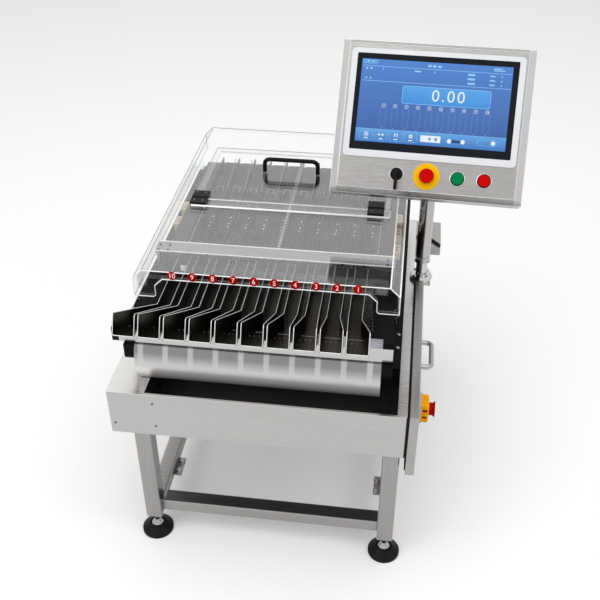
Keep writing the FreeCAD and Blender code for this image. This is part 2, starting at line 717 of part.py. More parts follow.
base = doc.addObject("PartDesign::Body", "isolator")
half = "(switch_size/2 + switch_rim)"
sk = sketch(base, "isolator_plate", "yz", FACE_X)
outline(sk, corners("switch_at - " + half, "switch_high - " + half, "switch_at + " + half,
                    "switch_high + " + half))
pad(base, "isolator_plate_pad", sk, "switch_plate", "yz")
sk = sketch(base, "isolator_case", "yz", FACE_X)
half = "switch_size/2"
outline(sk, corners("switch_at - " + half, "switch_high - " + half, "switch_at + " + half,
                    "switch_high + " + half))
case = pad(base, "isolator_case_pad", sk, "switch_deep", "yz")
chamfer(base, "isolator_bevel", case, "switch_bevel", level("x", FACE_X + " + switch_deep"))
node("isolator_base", base)
KNOB_X = FACE_X + " + switch_deep + knob_gap"
disc = turned("knob_disc", KNOB_X, "switch_at", "switch_high", [
    ("0", "0"), ("knob_neck/2", "0"), ("knob_neck/2", "knob_skirt"), ("knob_dia/2", "knob_deep"),
    ("0", "knob_deep")], "x")
slot = box("knob_slot_box", KNOB_X + " + knob_deep - knob_slot", "switch_at - knob_slot/2",
           "switch_high - knob_neck/2", "knob_slot + 1", "knob_slot", "knob_neck")
node("isolator_knob", cut("knob", disc, slot))

# Pole: shelf, flange with a neck, ring and tube

POLE_X = "table_width/2 + pole_out"
POLE_Y = DOOR_BACK + " + pole_behind"
node("pole_shelf", box("shelf_box", SIDE_X, DOOR_BACK + " + shelf_gap",
                       "table_top - shelf_thick",
                       "pole_out + flange_dia/2 - shelf_in", "shelf_long", "shelf_thick"))
node("pole_flange", turned("flange", POLE_X, POLE_Y, "table_top", [
    ("0", "0"), ("flange_dia/2", "0"), ("flange_dia/2", "flange_low"),
    ("flange_dia/2 - flange_step", "flange_thick"), ("neck_dia/2", "flange_thick"),
    ("neck_dia/2", "ring_high - table_top"), ("0", "ring_high - table_top")]))
node("pole_ring", rod("ring_disc", "z", POLE_X, POLE_Y, "ring_high", "ring_dia",
                      "ring_thick"))
node("pole", rod("pole_rod", "z", POLE_X, POLE_Y, "ring_high + ring_thick", "pole_dia",
                 "pole_top - ring_high - ring_thick"))

# Side cowl in two tiers near the back, with a slot between them

COWL_OUT = SIDE_X + " + cowl_wide"
lower = box("cowl_lower", SIDE_X, "cowl_front", "cowl_low", "cowl_wide",
            "table_depth - cowl_front", "cowl_split - cowl_low")
tie = box("cowl_tie", SIDE_X, "cowl_front + cowl_cut + 2*cowl_slot", "cowl_split",
          "cowl_wide - 2*cowl_slot", "table_depth - cowl_front - cowl_cut - 2*cowl_slot",
          "cowl_slot")
upper = poly("cowl_upper", "xy", "cowl_split + cowl_slot",
             "cowl_top - cowl_split - cowl_slot", [
                 (SIDE_X, "cowl_front + cowl_cut + cowl_slot"),
                 (SIDE_X + " + cowl_wide/2", "cowl_front + cowl_cut"),
                 (COWL_OUT, "cowl_front + cowl_step"), (COWL_OUT, "table_depth"),
                 (SIDE_X, "table_depth")])
node("side_cowl", fuse("cowl", lower, tie, upper))

# Black side frames notched for the chute bar, with brackets, shoulders and blocks

BAR_BACK = "bar_front + bar_size + bar_gap"
BAR_Z = "chute_base - bar_size"
frames = []
for tag, x0 in (("l", "-frame_out"), ("r", "frame_in")):
    b = doc.addObject("PartDesign::Body", "frame_" + tag)
    sk = sketch(b, "frame_side_" + tag, "yz", x0)
    outline(sk, [("frame_front", "frame_low"), ("frame_back", "frame_low"),
                 ("frame_back", "frame_top"), (BAR_BACK, "frame_top"),
                 (BAR_BACK, BAR_Z + " - bar_gap"), ("frame_front", BAR_Z + " - bar_gap")])
    f = pad(b, "frame_pad_" + tag, sk, "frame_out - frame_in", "yz")
    fillet(b, "frame_nose_" + tag, f, "frame_round", along("x"), level("y", "frame_front"),
           level("z", "frame_low"))
    frames.append(b)
node("side_frames", *frames)
cheeks = []
for tag, x0, wide, front in (("l", "-frame_out - cheek_left", "cheek_left", "cheek_left_front"),
                             ("r", "frame_out", "cheek_right", "cheek_right_front")):
    back = "frame_back - cheek_short"
    cheeks.append(flat_block("cheek_" + tag, "yz", x0, wide, [
        (front, "frame_top - cheek_lip"), ("cheek_deep_front", "frame_top - cheek_lip"),
        ("cheek_deep_front", "frame_low"), (back, "frame_low"), (back, "frame_top"),
        (front, "frame_top")]))
node("outer_brackets", *cheeks)
SHOULDER_OUT = "(hood_half - hood_foot - foot_gap)"
SHOULDER_TOP = "frame_top + shoulder_thick"
left = box("shoulder_l", "-" + SHOULDER_OUT, "shoulder_front", "frame_top",
           SHOULDER_OUT + " - shoulder_in", "beam_front - shoulder_front", "shoulder_thick")
right = box("shoulder_r", "shoulder_in", "shoulder_front", "frame_top",
            SHOULDER_OUT + " - shoulder_in", "beam_front - shoulder_front", "shoulder_thick")
nose = poly("shoulder_nose", "yz", "frame_in", "bar_right - frame_in", [
    ("nose_front", "chute_base + bar_gap"), (BAR_BACK, "chute_base + bar_gap"),
    (BAR_BACK, SHOULDER_TOP), ("shoulder_front + nose_root", SHOULDER_TOP),
    ("shoulder_front + nose_root", SHOULDER_TOP + " + nose_thick"),
    ("nose_front", SHOULDER_TOP + " + nose_thick")])
node("shoulder_plates", left, fuse("shoulder_right", right, nose))
props = []
for tag, x0 in (("l", "-frame_out"), ("r", "frame_in")):
    for end, y0 in (("f", "prop_front"), ("b", "prop_back")):
        props.append(box("prop_%s_%s" % (tag, end), x0, y0, "table_top",
                         "frame_out - frame_in", "prop_long", "frame_low - table_top"))
node("frame_blocks", *props)

# Rounded cover under the chutes: one bent sheet with both edges turned back

COVER_X = "(frame_in - cover_gap)"


def drum_edge(height, radius):
    """Where the cover's arc of a given radius meets a height."""
    return "drum_y - sqrt(%s*%s - (%s - drum_z)*(%s - drum_z))" % (radius, radius, height, height)


sk = free_sketch("cover_profile", "yz", "-" + COVER_X)
R1 = "drum_round"
R2 = "(drum_round - drum_sheet)"
TOP_IN = "(drum_top - drum_sheet)"
LOW_IN = "(drum_low + drum_sheet)"
spots = {
    "top_back": (drum_edge("drum_top", R1) + " + drum_flange", "drum_top"),
    "top": (drum_edge("drum_top", R1), "drum_top"),
    "low": (drum_edge("drum_low", R1), "drum_low"),
    "low_back": (drum_edge("drum_low", R1) + " + drum_flange", "drum_low"),
    "low_back_in": (drum_edge("drum_low", R1) + " + drum_flange", LOW_IN),
    "low_in": (drum_edge(LOW_IN, R2), LOW_IN),
    "top_in": (drum_edge(TOP_IN, R2), TOP_IN),
    "top_back_in": (drum_edge("drum_top", R1) + " + drum_flange", TOP_IN),
}
chain = []
for a, b in (("top_back", "top"), ("low", "low_back"), ("low_back", "low_back_in"),
             ("low_back_in", "low_in"), ("top_in", "top_back_in"), ("top_back_in", "top_back")):
    geo = line(sk, spots[a], spots[b])
    pin(sk, geo, 1, *spots[a])
    chain.append(geo)
for geo, b in ((chain[0], "top"), (chain[3], "low_in")):
    pin(sk, geo, 2, *spots[b])
for a, b in ((1, 2), (2, 3), (4, 5), (5, 0)):
    join(sk, chain[a], 2, chain[b], 1)


def around(height, radius):
    """Angle of an arc's end, in degrees, on the front side of the cover."""
    rise = number("%s - drum_z" % height)
    return 180 - math.degrees(math.asin(rise / number(radius)))


outer_arc = arc(sk, ("drum_y", "drum_z"), R1, around("drum_top", R1), around("drum_low", R1))
inner_arc = arc(sk, ("drum_y", "drum_z"), R2, around(TOP_IN, R2), around(LOW_IN, R2))
join(sk, outer_arc, 1, chain[0], 2)
join(sk, outer_arc, 2, chain[1], 1)
join(sk, inner_arc, 1, chain[4], 1)
join(sk, inner_arc, 2, chain[3], 2)
node("rounded_cover", extrude("cover", sk, "yz", "2*" + COVER_X))

# Chute bar: square tube with a cap at the right and a black plug at the left

tube = doc.addObject("PartDesign::Body", "bar_tube")
sk = sketch(tube, "bar_section", "yz", "-bar_left")
outline(sk, corners("bar_front", BAR_Z, "bar_front + bar_size", "chute_base"))
f = pad(tube, "bar_pad", sk, "bar_left + bar_right", "yz")
chamfer(tube, "bar_folds", f, "bar_bevel", along("x"))
sk = sketch(tube, "bar_bore", "yz", "-bar_left")
outline(sk, corners("bar_front + bar_wall", BAR_Z + " + bar_wall",
                    "bar_front + bar_size - bar_wall", "chute_base - bar_wall"))
pocket(tube, "bar_hollow", sk, "bar_left + bar_right - bar_cap", "yz")
node("chute_bar", tube)
head = bar("plug_head", "x", "-bar_left - plug_long", "bar_front", BAR_Z, "plug_long",
           "bar_size", "bar_size", "plug_bevel")
root = box("plug_root_box", "-bar_left - 1", "bar_front + bar_wall + bar_gap",
           BAR_Z + " + bar_wall + bar_gap", "plug_root + 1",
           "bar_size - 2*bar_wall - 2*bar_gap", "bar_size - 2*bar_wall - 2*bar_gap")
node("bar_plug", fuse("plug", head, root))

# Ten fanned chutes, lane 1 at the right: folded troughs with a straight mouth, walls
# that swing across to the lane, a slanted front and cut upper corners

CHUTE_TOP = "chute_base + chute_high"
CORNER_Y = "chute_mouth + chute_slant"
RUN = "sqrt(chute_high*chute_high + chute_slant*chute_slant)"
FAR_Y = "chute_mouth - chute_wide"
mouth_cut = poly("mouth_cut", "yz", "-table_width", "2*table_width", [
    ("chute_mouth", "chute_base - 1"), ("chute_mouth", "chute_base"),
    ("%s - chute_corner*chute_slant/%s" % (CORNER_Y, RUN),
     "%s - chute_corner*chute_high/%s" % (CHUTE_TOP, RUN)),
    (CORNER_Y + " + chute_corner", CHUTE_TOP), (CORNER_Y + " + chute_corner", CHUTE_TOP + " + 1"),
    (FAR_Y, CHUTE_TOP + " + 1"), (FAR_Y, "chute_base - 1")])
chutes = []
for lane in range(1, 11):
    step = 5.5 - lane
    trough = []
    for tag, low, high, inset, over in (("out", "chute_base", "chute_high", "0", "0"),
                                        ("in", "chute_base + chute_sheet", "chute_high",
                                         "chute_sheet", "1")):
        lane_l = "%g*lane_pitch - chute_narrow/2 + %s" % (step, inset)
        lane_r = "%g*lane_pitch + chute_narrow/2 - %s" % (step, inset)
        mouth_l = "%g*mouth_pitch - mouth_shift - chute_wide/2 + %s" % (step, inset)
        mouth_r = "%g*mouth_pitch - mouth_shift + chute_wide/2 - %s" % (step, inset)
        front = "chute_mouth - %s" % over
        back = "chute_back + %s" % over
        trough.append(poly("chute_%s_%d" % (tag, lane), "xy", low, high, [
            (lane_l, back), (lane_l, "chute_bend"), (mouth_l, "chute_knee"),
            (mouth_l, front), (mouth_r, front), (mouth_r, "chute_knee"),
            (lane_r, "chute_bend"), (lane_r, back)]))
    chutes.append(cut("chute_%d" % lane, trough[0], trough[1], mouth_cut))
node("chutes", *chutes)

# Lane bed under the hood: belts, lane walls, centre rail, clear dividers, sensor blocks

BED_X = "(frame_in + bed_lap)"
node("lane_bed", box("bed_box", "-" + BED_X, "bed_front", "frame_top", "2*" + BED_X,
                     "bed_back - bed_front", "bed_top - frame_top"))
belts = []
for lane in range(1, 11):
    belts.append(box("belt_%d" % lane, "%g*lane_pitch - belt_wide/2" % (5.5 - lane),
                     "bed_front + belt_inset", "bed_top", "belt_wide",
                     "bed_back - bed_front - 2*belt_inset", "belt_thick"))
node("lane_belts", *belts)
walls = []
for i in (0, 1, 2, 3, 4, 6, 7, 8, 9, 10):
    walls.append(box("wall_%d" % i, "%g*lane_pitch - wall_thick/2" % (5.0 - i),
                     "bed_front", "bed_top", "wall_thick", "bed_back - bed_front",
                     "wall_high"))
node("lane_walls", *walls)
node("centre_rail", box("spine", "-spine_wide/2", "bed_front", "bed_top", "spine_wide",
                        "bed_back - bed_front - spine_short", "spine_high"))
fins = []
for i in (1, 2, 3, 4, 6, 7, 8, 9):
    x0 = "%g*lane_pitch + wall_thick/2 + fin_gap" % (5.0 - i)
    fins.append(poly("fin_%d" % i, "yz", x0, "fin_thick", [
        ("fin_front", "bed_top"), ("fin_back", "bed_top"),
        ("fin_back", "bed_top + fin_high"), ("fin_back - fin_flat", "bed_top + fin_high"),
        ("fin_front", "bed_top + fin_step")]))
node("clear_dividers", *fins)
blocks = []
for tag, x0, y0 in (("a", "-%s - block_gap - block_wide" % BED_X, "block_l1"),
                    ("b", "-%s - block_gap - block_wide" % BED_X, "block_l2"),
                    ("c", "%s + block_gap" % BED_X, "block_r1"),
                    ("d", "%s + block_gap" % BED_X, "block_r2"),
                    ("e", "%s + block_gap" % BED_X, "block_r3")):
    blocks.append(box("block_" + tag, x0, y0, "frame_top", "block_wide", "block_long",
                      "block_high"))
node("sensor_blocks", *blocks)
node("cross_strip", box("beam_box", "-beam_half", "beam_front", "beam_top - beam_thick",
                        "2*beam_half", "beam_back - beam_front", "beam_thick"))
posts = []
for tag, x0 in (("l", "-beam_half"), ("r", "beam_half - post_wide")):
    posts.append(box("post_" + tag, x0, "beam_front + post_set", "frame_top", "post_wide",
                     "post_long", "beam_top - beam_thick - frame_top"))
node("strip_posts", *posts)

# Clear hood: bent sheet with bevelled shoulders, notched front, feet and lifting lid

EDGE = "hood_sheet*0.4"
FLAT_X = "(hood_half - hood_slope)"
BEVEL_Z = "(hood_top - hood_bevel)"
OUT = [("-hood_half", "hood_low"), ("-hood_half", BEVEL_Z), ("-" + FLAT_X, "hood_top"),
       (FLAT_X, "hood_top"), ("hood_half", BEVEL_Z), ("hood_half", "hood_low")]
INNER = [("-hood_half + hood_sheet", "hood_low - 1"),
         ("-hood_half + hood_sheet", BEVEL_Z + " - " + EDGE),
         ("-%s + %s" % (FLAT_X, EDGE), "hood_top - hood_sheet"),
         ("%s - %s" % (FLAT_X, EDGE), "hood_top - hood_sheet"),
         ("hood_half - hood_sheet", BEVEL_Z + " - " + EDGE),
         ("hood_half - hood_sheet", "hood_low - 1")]
shell = poly("hood_out", "xz", "hood_front + hood_sheet",
             "hood_back - hood_front - hood_sheet", OUT)
hollow = poly("hood_hollow", "xz", "hood_front", "hood_back - hood_front + 10", INNER)
opening = box("hood_opening", "-lid_left + lid_lap", "lid_front + lid_lap",
              "hood_top - hood_sheet - 1", "lid_left + lid_right - 2*lid_lap",
              "lid_back - lid_front - 2*lid_lap", "hood_sheet + 2")
node("hood_shell", cut("hood_cut", shell, hollow, opening))
NOTCH = [("hood_half", "hood_low"), ("step_half + step_cut", "hood_low"),
         ("step_half", "hood_low + step_cut"), ("step_half", "step_low"),
         ("brow_half", "brow_low"), ("-brow_half", "brow_low"), ("-step_half", "step_low"),
         ("-step_half", "hood_low + step_cut"), ("-step_half - step_cut", "hood_low")]
node("hood_front_panel", poly("brow", "xz", "hood_front", "hood_sheet", OUT[:5] + NOTCH))
feet = []
for tag, x0 in (("l", "-hood_half"), ("r", "hood_half - hood_foot")):
    for end, y0 in (("f", "hood_front"), ("b", "frame_back - cheek_short - hood_foot_long")):
        feet.append(box("hood_foot_%s_%s" % (tag, end), x0, y0, "frame_top", "hood_foot",
                        "hood_foot_long", "hood_low - frame_top"))
node("hood_feet", *feet)
node("hinge_strip", box("strip_box", "-lid_left", "strip_front", "hood_top",
                        "lid_left + lid_right", "lid_front - strip_front - strip_gap",
                        "hood_sheet"))
node("hood_lid", box("lid_box", "-lid_left", "lid_front", "hood_top + lid_gap",
                     "lid_left + lid_right", "lid_back - lid_front", "hood_sheet"))

# Two hinges: each leaf carries half of the knuckle, and the lid's bent handle

PIN_Y = "lid_front - strip_gap/2"
STRIP_Z = "hood_top + hood_sheet"
LID_Z = "hood_top + lid_gap + hood_sheet"
PIN_Z = LID_Z + " + hinge_pin/2"
HALF = "hinge_wide/2 - hinge_gap"
LEAF = "hinge_leaf - hinge_pin/2 - lid_gap"
fixed = []
moving = []
for tag, cx in (("l", "-hinge_left"), ("r", "hinge_right")):
    x0 = "%s - hinge_wide/2" % cx
    leaf = box("leaf_fix_" + tag, x0, "%s - hinge_leaf" % PIN_Y, STRIP_Z, "hinge_wide",
               LEAF, "hinge_thick")
    knuckle = rod("knuckle_fix_" + tag, "x", x0, PIN_Y, PIN_Z, "hinge_pin", HALF)
    web = box("web_fix_" + tag, x0, "%s - hinge_pin/2 - 2" % PIN_Y, "%s - 2" % PIN_Z, HALF,
              "hinge_pin/2 + 2", "4")
    fixed.append(fuse("hinge_fix_" + tag, leaf, web, knuckle))
    x1 = "%s + hinge_gap" % cx
    leaf = box("leaf_move_" + tag, x0, "%s + hinge_pin/2 + lid_gap" % PIN_Y, LID_Z,
               "hinge_wide", LEAF, "hinge_thick")
    knuckle = rod("knuckle_move_" + tag, "x", x1, PIN_Y, PIN_Z, "hinge_pin", HALF)
    web = box("web_move_" + tag, x1, PIN_Y, "%s - 2" % PIN_Z, HALF, "hinge_pin/2 + 2", "4")
    moving.append(fuse("hinge_move_" + tag, leaf, web, knuckle))
node("hinge_fixed_leaves", *fixed)
node("hinge_lid_leaves", *moving)
PULL_A = "pull_centre - pull_span/2"
pull_line = bent_points(LID_Z, LID_Z + " + pull_up", PULL_A, "pull_centre + pull_span/2",
                        "pull_bend")
node("lid_handle", handle("pull", "pull_bar", "xz", "pull_at", [(v, u) for u, v in pull_line],
                          "xy", LID_Z, (PULL_A, "pull_at")))

# Screen on the pole: pieces are drawn about the display centre, then leaned and turned

SCREEN_PLACE = ("placement(vector(table_width/2 + screen_right; screen_y; screen_z); "
                "rotationz(screen_yaw)*rotationx(-screen_tilt))")


def on_screen(label, *parts):
    """Set pieces drawn about the display centre at the screen's place and lean."""
    o = doc.addObject("Part::Compound", label + "_on_screen")
    o.Links = list(parts)
    o.Label = label
    ex(o, "Placement", SCREEN_PLACE)
    return o


def screen_node(label, *parts):
    NODES.append((label, on_screen(label, *parts)))


def face_plate(name, plane_y, deep, centre_x, wide, drop, high, size, edge=chamfer):
    """Upright plate with eased corners, drawn about the display centre."""
    points = corners("%s - (%s)/2" % (centre_x, wide), "-%s - (%s)/2" % (drop, high),
                     "%s + (%s)/2" % (centre_x, wide), "-%s + (%s)/2" % (drop, high))
    return flat_block(name, "xz", plane_y, deep, points, size, edge)


case = doc.addObject("PartDesign::Body", "screen_case")
front_sk = sketch(case, "case_front", "xz", "0")
outline(front_sk, corners("-box_wide/2 + rim_side", "-box_drop - box_high/2 + rim_level",
                          "box_wide/2 - rim_side", "-box_drop + box_high/2 - rim_level"))
rim_sk = sketch(case, "case_rim", "xz", "rim_deep")
outline(rim_sk, corners("-box_wide/2", "-box_drop - box_high/2", "box_wide/2",
                        "-box_drop + box_high/2"))
bevel = case.newObject("PartDesign::AdditiveLoft", "case_bevel")
bevel.Profile = front_sk
bevel.Sections = [rim_sk]
back_sk = sketch(case, "case_back", "xz", "rim_deep")
outline(back_sk, corners("-box_wide/2", "-box_drop - box_high/2", "box_wide/2",
                         "-box_drop + box_high/2"))
pad(case, "case_pad", back_sk, "box_deep - rim_deep", "xz")
screen_node("screen_box", case)
plate = face_plate("surround_plate", "-bezel_out", "bezel_out", "bezel_side", "bezel_wide",
                   "bezel_drop", "bezel_high", "bezel_round", fillet)
window = face_plate("surround_window", "-bezel_out - 1", "bezel_out + 2", "bezel_side",
                    "glass_wide", "glass_drop", "glass_high", "glass_bevel")
screen_node("screen_surround", cut("surround_cut", plate, window))
screen_node("screen_glass", face_plate("glass_plate", "-bezel_out + glass_in",
                                       "bezel_out - glass_in", "bezel_side",
                                       "glass_wide - 2*glass_gap", "glass_drop",
                                       "glass_high - 2*glass_gap", "glass_bevel"))


def control(name, side, profile):
    """Turned piece facing the operator on the line of controls."""
    return turned(name, side, "0", "-button_line", profile, "front")


screen_node("stop_ring_plate", control("stop_plate", "stop_side", [
    ("stop_stem/2 + push_gap", "0"), ("stop_ring/2", "0"), ("stop_ring/2", "ring_plate"),
    ("stop_stem/2 + push_gap", "ring_plate")]))
screen_node("stop_button", control("stop_mushroom", "stop_side", [
    ("0", "stop_seat"), ("stop_stem/2", "stop_seat"), ("stop_stem/2", "stop_under"),
    ("stop_head/2", "stop_under"), ("stop_crown/2", "stop_out"),
    ("0", "stop_out")]))
rings = []
for label, side in (("green", "go_side"), ("red", "halt_side")):
    rings.append(control(label + "_bezel", side, [
        ("push_cap/2 + push_gap", "0"), ("push_ring/2", "0"), ("push_ring/2", "push_lip"),
        ("push_cap/2 + push_gap", "push_lip")]))
    screen_node(label + "_button", control(label + "_cap", side, [
        ("0", "push_seat"), ("push_cap/2", "push_seat"), ("push_cap/2", "push_out"),
        ("0", "push_out")]))
screen_node("button_rings", *rings)
screen_node("key_barrel", control("key_head", "key_side", [
    ("0", "0"), ("key_ring/2", "0"), ("key_ring/2", "key_out"), ("0", "key_out")]))
screen_node("key", bar("key_bow", "y", "key_side - key_thick/2",
                       "-key_out - key_gap - key_long", "-button_line - key_tail",
                       "key_thick", "key_long", "key_tail + key_thick", "key_thick/3"))
seat = on_screen("bracket_seat", box("bracket_box", "clamp_side - clamp_wide/2", "box_deep",
                                     "-clamp_drop - clamp_high/2", "clamp_wide",
                                     "clamp_deep", "clamp_high"))
node("screen_bracket", cut("bracket_cut", seat,
                           rod("bracket_bore", "z", POLE_X, POLE_Y, "table_top",
                               "pole_dia", "pole_top - table_top")))

doc.recompute()
bad = []
for o in doc.Objects:
    if "Invalid" in o.State or "Error" in o.State:
        bad.append(o.Name)
for label, o in NODES:
    shape = o.Shape
    if shape.isNull() or not shape.isValid() or not shape.Solids:
        bad.append(label)
if bad:
    raise RuntimeError("failed: " + ", ".join(bad))

# Set the finished pieces in the row frame: bottom centre of the whole at the origin

xs = []
ys = []
zs = []
for label, o in NODES:
    b = o.Shape.BoundBox
    xs += [b.XMin, b.XMax]
    ys += [b.YMin, b.YMax]
    zs += [b.ZMin, b.ZMax]
shift = FreeCAD.Vector(-(min(xs) + max(xs)) / 2, -(min(ys) + max(ys)) / 2, -min(zs))
print("shift", shift, "size", max(xs) - min(xs), max(ys) - min(ys), max(zs) - min(zs))
for label, o in NODES:
    shape = o.Shape.copy()
    shape.translate(shift)
    shape.exportStep("parts/%s.step" % label)
print("nodes", len(NODES))
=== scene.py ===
import bmesh
import bpy
import json
import math
from mathutils import Euler, Matrix, Vector


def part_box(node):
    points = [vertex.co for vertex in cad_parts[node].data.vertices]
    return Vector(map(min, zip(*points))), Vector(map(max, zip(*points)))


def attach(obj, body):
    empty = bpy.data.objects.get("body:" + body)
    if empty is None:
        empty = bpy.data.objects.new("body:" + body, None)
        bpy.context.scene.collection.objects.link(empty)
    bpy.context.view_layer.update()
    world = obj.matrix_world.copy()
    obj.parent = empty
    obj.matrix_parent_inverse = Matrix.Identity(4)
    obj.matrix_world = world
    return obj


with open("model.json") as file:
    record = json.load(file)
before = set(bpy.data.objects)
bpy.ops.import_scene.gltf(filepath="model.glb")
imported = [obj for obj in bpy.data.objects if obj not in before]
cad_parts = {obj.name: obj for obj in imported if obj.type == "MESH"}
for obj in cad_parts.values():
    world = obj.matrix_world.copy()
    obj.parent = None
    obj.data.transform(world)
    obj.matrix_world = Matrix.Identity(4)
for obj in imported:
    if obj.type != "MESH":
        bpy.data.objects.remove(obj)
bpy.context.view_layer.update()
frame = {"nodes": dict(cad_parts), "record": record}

NODES = frame["nodes"]
NODE_SLOT = {s["node"]: s["material_slot"] for s in frame["record"]["subparts"]}
MM = 0.001

# Places are given in millimetres from the middle of the table's front panel, at floor
# level: x to the right, y away from the front, z up.

TABLE_LOW, TABLE_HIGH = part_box("table_body")
ORIGIN = Vector(((TABLE_LOW.x + TABLE_HIGH.x) / 2, TABLE_LOW.y, 0))

TABLE_SIDE = 347.0
TABLE_TOP = 490.0
# Painted shade: the table steel is darkened inside this box, the well under the rounded cover
WELL_SHADE_BOX = ((-258, 326), (5, 301), (300, 488))
LANES = range(1, 11)
LANE_PITCH = 48.0
MOUTH_PITCH = 58.1
MOUTH_SHIFT = 34.0
SCREEN_MIDDLE = (353.0, 482.0, 1025.6)
SCREEN_TURN = (Matrix.Rotation(math.radians(-2.7), 4, "Z")
               @ Matrix.Rotation(math.radians(-34.3), 4, "X"))
SCREEN_ACROSS = SCREEN_TURN @ Vector((1, 0, 0))
SCREEN_UP = SCREEN_TURN @ Vector((0, 0, 1))


def spot(x, y, z):
    return ORIGIN + Vector((x, y, z)) * MM


# Materials

def new_material(name):
    mat = bpy.data.materials.new(name)
    mat.use_nodes = True
    tree = mat.node_tree
    tree.nodes.clear()
    out = tree.nodes.new("ShaderNodeOutputMaterial")
    bsdf = tree.nodes.new("ShaderNodeBsdfPrincipled")
    tree.links.new(bsdf.outputs[0], out.inputs[0])
    return mat, tree, bsdf


def main_shader(mat):
    return next(n for n in mat.node_tree.nodes if n.type == "BSDF_PRINCIPLED")


def painted(mat):
    """A material's tree, its main shader and the output that feeds its base colour."""
    bsdf = main_shader(mat)
    return mat.node_tree, bsdf, bsdf.inputs["Base Color"].links[0].from_socket


def object_coords(tree, stretch):
    """Object coordinates in metres, scaled along each axis."""
    coord = tree.nodes.new("ShaderNodeTexCoord")
    mapping = tree.nodes.new("ShaderNodeMapping")
    mapping.inputs["Scale"].default_value = stretch
    tree.links.new(coord.outputs["Object"], mapping.inputs["Vector"])
    return mapping.outputs[0]


def noise(tree, vector, scale, detail, roughness):
    node = tree.nodes.new("ShaderNodeTexNoise")
    node.inputs["Scale"].default_value = scale
    node.inputs["Detail"].default_value = detail
    node.inputs["Roughness"].default_value = roughness
    tree.links.new(vector, node.inputs["Vector"])
    return node.outputs["Fac"]


def spread(tree, value, low, high, start=0.3, end=0.7):
    node = tree.nodes.new("ShaderNodeMapRange")
    node.inputs["From Min"].default_value = start
    node.inputs["From Max"].default_value = end
    node.inputs["To Min"].default_value = low
    node.inputs["To Max"].default_value = high
    tree.links.new(value, node.inputs["Value"])
    return node.outputs[0]


def sums(tree, kind, a, b):
    """A math node: each of a and b is a number or another node's output."""
    node = tree.nodes.new("ShaderNodeMath")
    node.operation = kind
    for socket, value in ((node.inputs[0], a), (node.inputs[1], b)):
        if isinstance(value, (int, float)):
            socket.default_value = value
        else:
            tree.links.new(value, socket)
    return node.outputs[0]


def mix_colours(tree, fac, a, b):
    """Blend of two colours: each is three numbers or another node's output."""
    node = tree.nodes.new("ShaderNodeMix")
    node.data_type = "RGBA"
    tree.links.new(fac, node.inputs[0])
    for socket, value in ((node.inputs[6], a), (node.inputs[7], b)):
        if isinstance(value, (tuple, list)):
            socket.default_value = (*value, 1)
        else:
            tree.links.new(value, socket)
    return node.outputs[2]


def bump(tree, bsdf, height, strength, distance):
    node = tree.nodes.new("ShaderNodeBump")
    node.inputs["Strength"].default_value = strength
    node.inputs["Distance"].default_value = distance
    tree.links.new(height, node.inputs["Height"])
    tree.links.new(node.outputs[0], bsdf.inputs["Normal"])


def axis_places(tree):
    """Distances in millimetres from the middle of the front panel, as x, y and z."""
    coord = tree.nodes.new("ShaderNodeTexCoord")
    split = tree.nodes.new("ShaderNodeSeparateXYZ")
    tree.links.new(coord.outputs["Object"], split.inputs[0])
    return [sums(tree, "MULTIPLY", sums(tree, "SUBTRACT", split.outputs[i], ORIGIN[i]), 1000.0)
            for i in range(3)]


def within(tree, value, low, high):
    """1 where the value lies between two limits, and 0 elsewhere."""
    away = sums(tree, "ABSOLUTE", sums(tree, "SUBTRACT", value, (low + high) / 2), 0.0)
    return sums(tree, "LESS_THAN", away, (high - low) / 2)


# Lines per metre across and along the brushing, by the axis the brushing runs along
GRAIN = {"x": (4.0, 800.0, 800.0), "y": (800.0, 4.0, 800.0), "z": (800.0, 800.0, 4.0)}
CLOUD = {"x": (1.5, 9.0, 9.0), "y": (9.0, 1.5, 9.0), "z": (9.0, 9.0, 1.5)}


def brushed(name, dark, light, rough, grain="x", strength=0.25, metal=1.0):
    """Brushed metal: fine lines along the grain over slow changes of tone."""
    mat, tree, bsdf = new_material(name)
    bsdf.inputs["Metallic"].default_value = metal
    lines = noise(tree, object_coords(tree, GRAIN[grain]), 1.0, 4.0, 0.65)
    cloud = noise(tree, object_coords(tree, CLOUD[grain]), 1.0, 2.0, 0.5)
    fine = spread(tree, lines, 0.0, 0.65, 0.25, 0.75)
    both = sums(tree, "ADD", sums(tree, "MULTIPLY", cloud, 0.35), fine)
    tree.links.new(mix_colours(tree, both, dark, light), bsdf.inputs["Base Color"])
    tree.links.new(spread(tree, lines, rough - 0.05, rough + 0.08), bsdf.inputs["Roughness"])
    bump(tree, bsdf, lines, strength, 0.0001)
    return mat


def darken(mat, boxes, share):
    """Painted shade: darken a material inside boxes given in millimetres from the front panel."""
    tree, bsdf, colour = painted(mat)
    places = axis_places(tree)
    mask = None
    for limits in boxes:
        inside = None
        for value, (low, high) in zip(places, limits):
            one = within(tree, value, low, high)
            inside = one if inside is None else sums(tree, "MULTIPLY", inside, one)
        mask = inside if mask is None else sums(tree, "MAXIMUM", mask, inside)
    dim = tree.nodes.new("ShaderNodeMix")
    dim.data_type = "RGBA"
    dim.blend_type = "MULTIPLY"
    tree.links.new(mask, dim.inputs[0])
    tree.links.new(colour, dim.inputs[6])
    dim.inputs[7].default_value = (share, share, share, 1)
    tree.links.new(dim.outputs[2], bsdf.inputs["Base Color"])
    return mat


def sheen_top(mat, level, left, right):
    """Painted highlight: brighten a material above a level, by a share at each of two places along x.
    """
    tree, bsdf, colour = painted(mat)
    across, _, high = axis_places(tree)
    share = spread(tree, across, left[1], right[1], left[0], right[0])
    gain = tree.nodes.new("ShaderNodeVectorMath")
    gain.operation = "SCALE"
    tree.links.new(colour, gain.inputs[0])
    tree.links.new(share, gain.inputs["Scale"])
    mask = sums(tree, "GREATER_THAN", high, level)
    tree.links.new(mix_colours(tree, mask, colour, gain.outputs[0]), bsdf.inputs["Base Color"])
    return mat


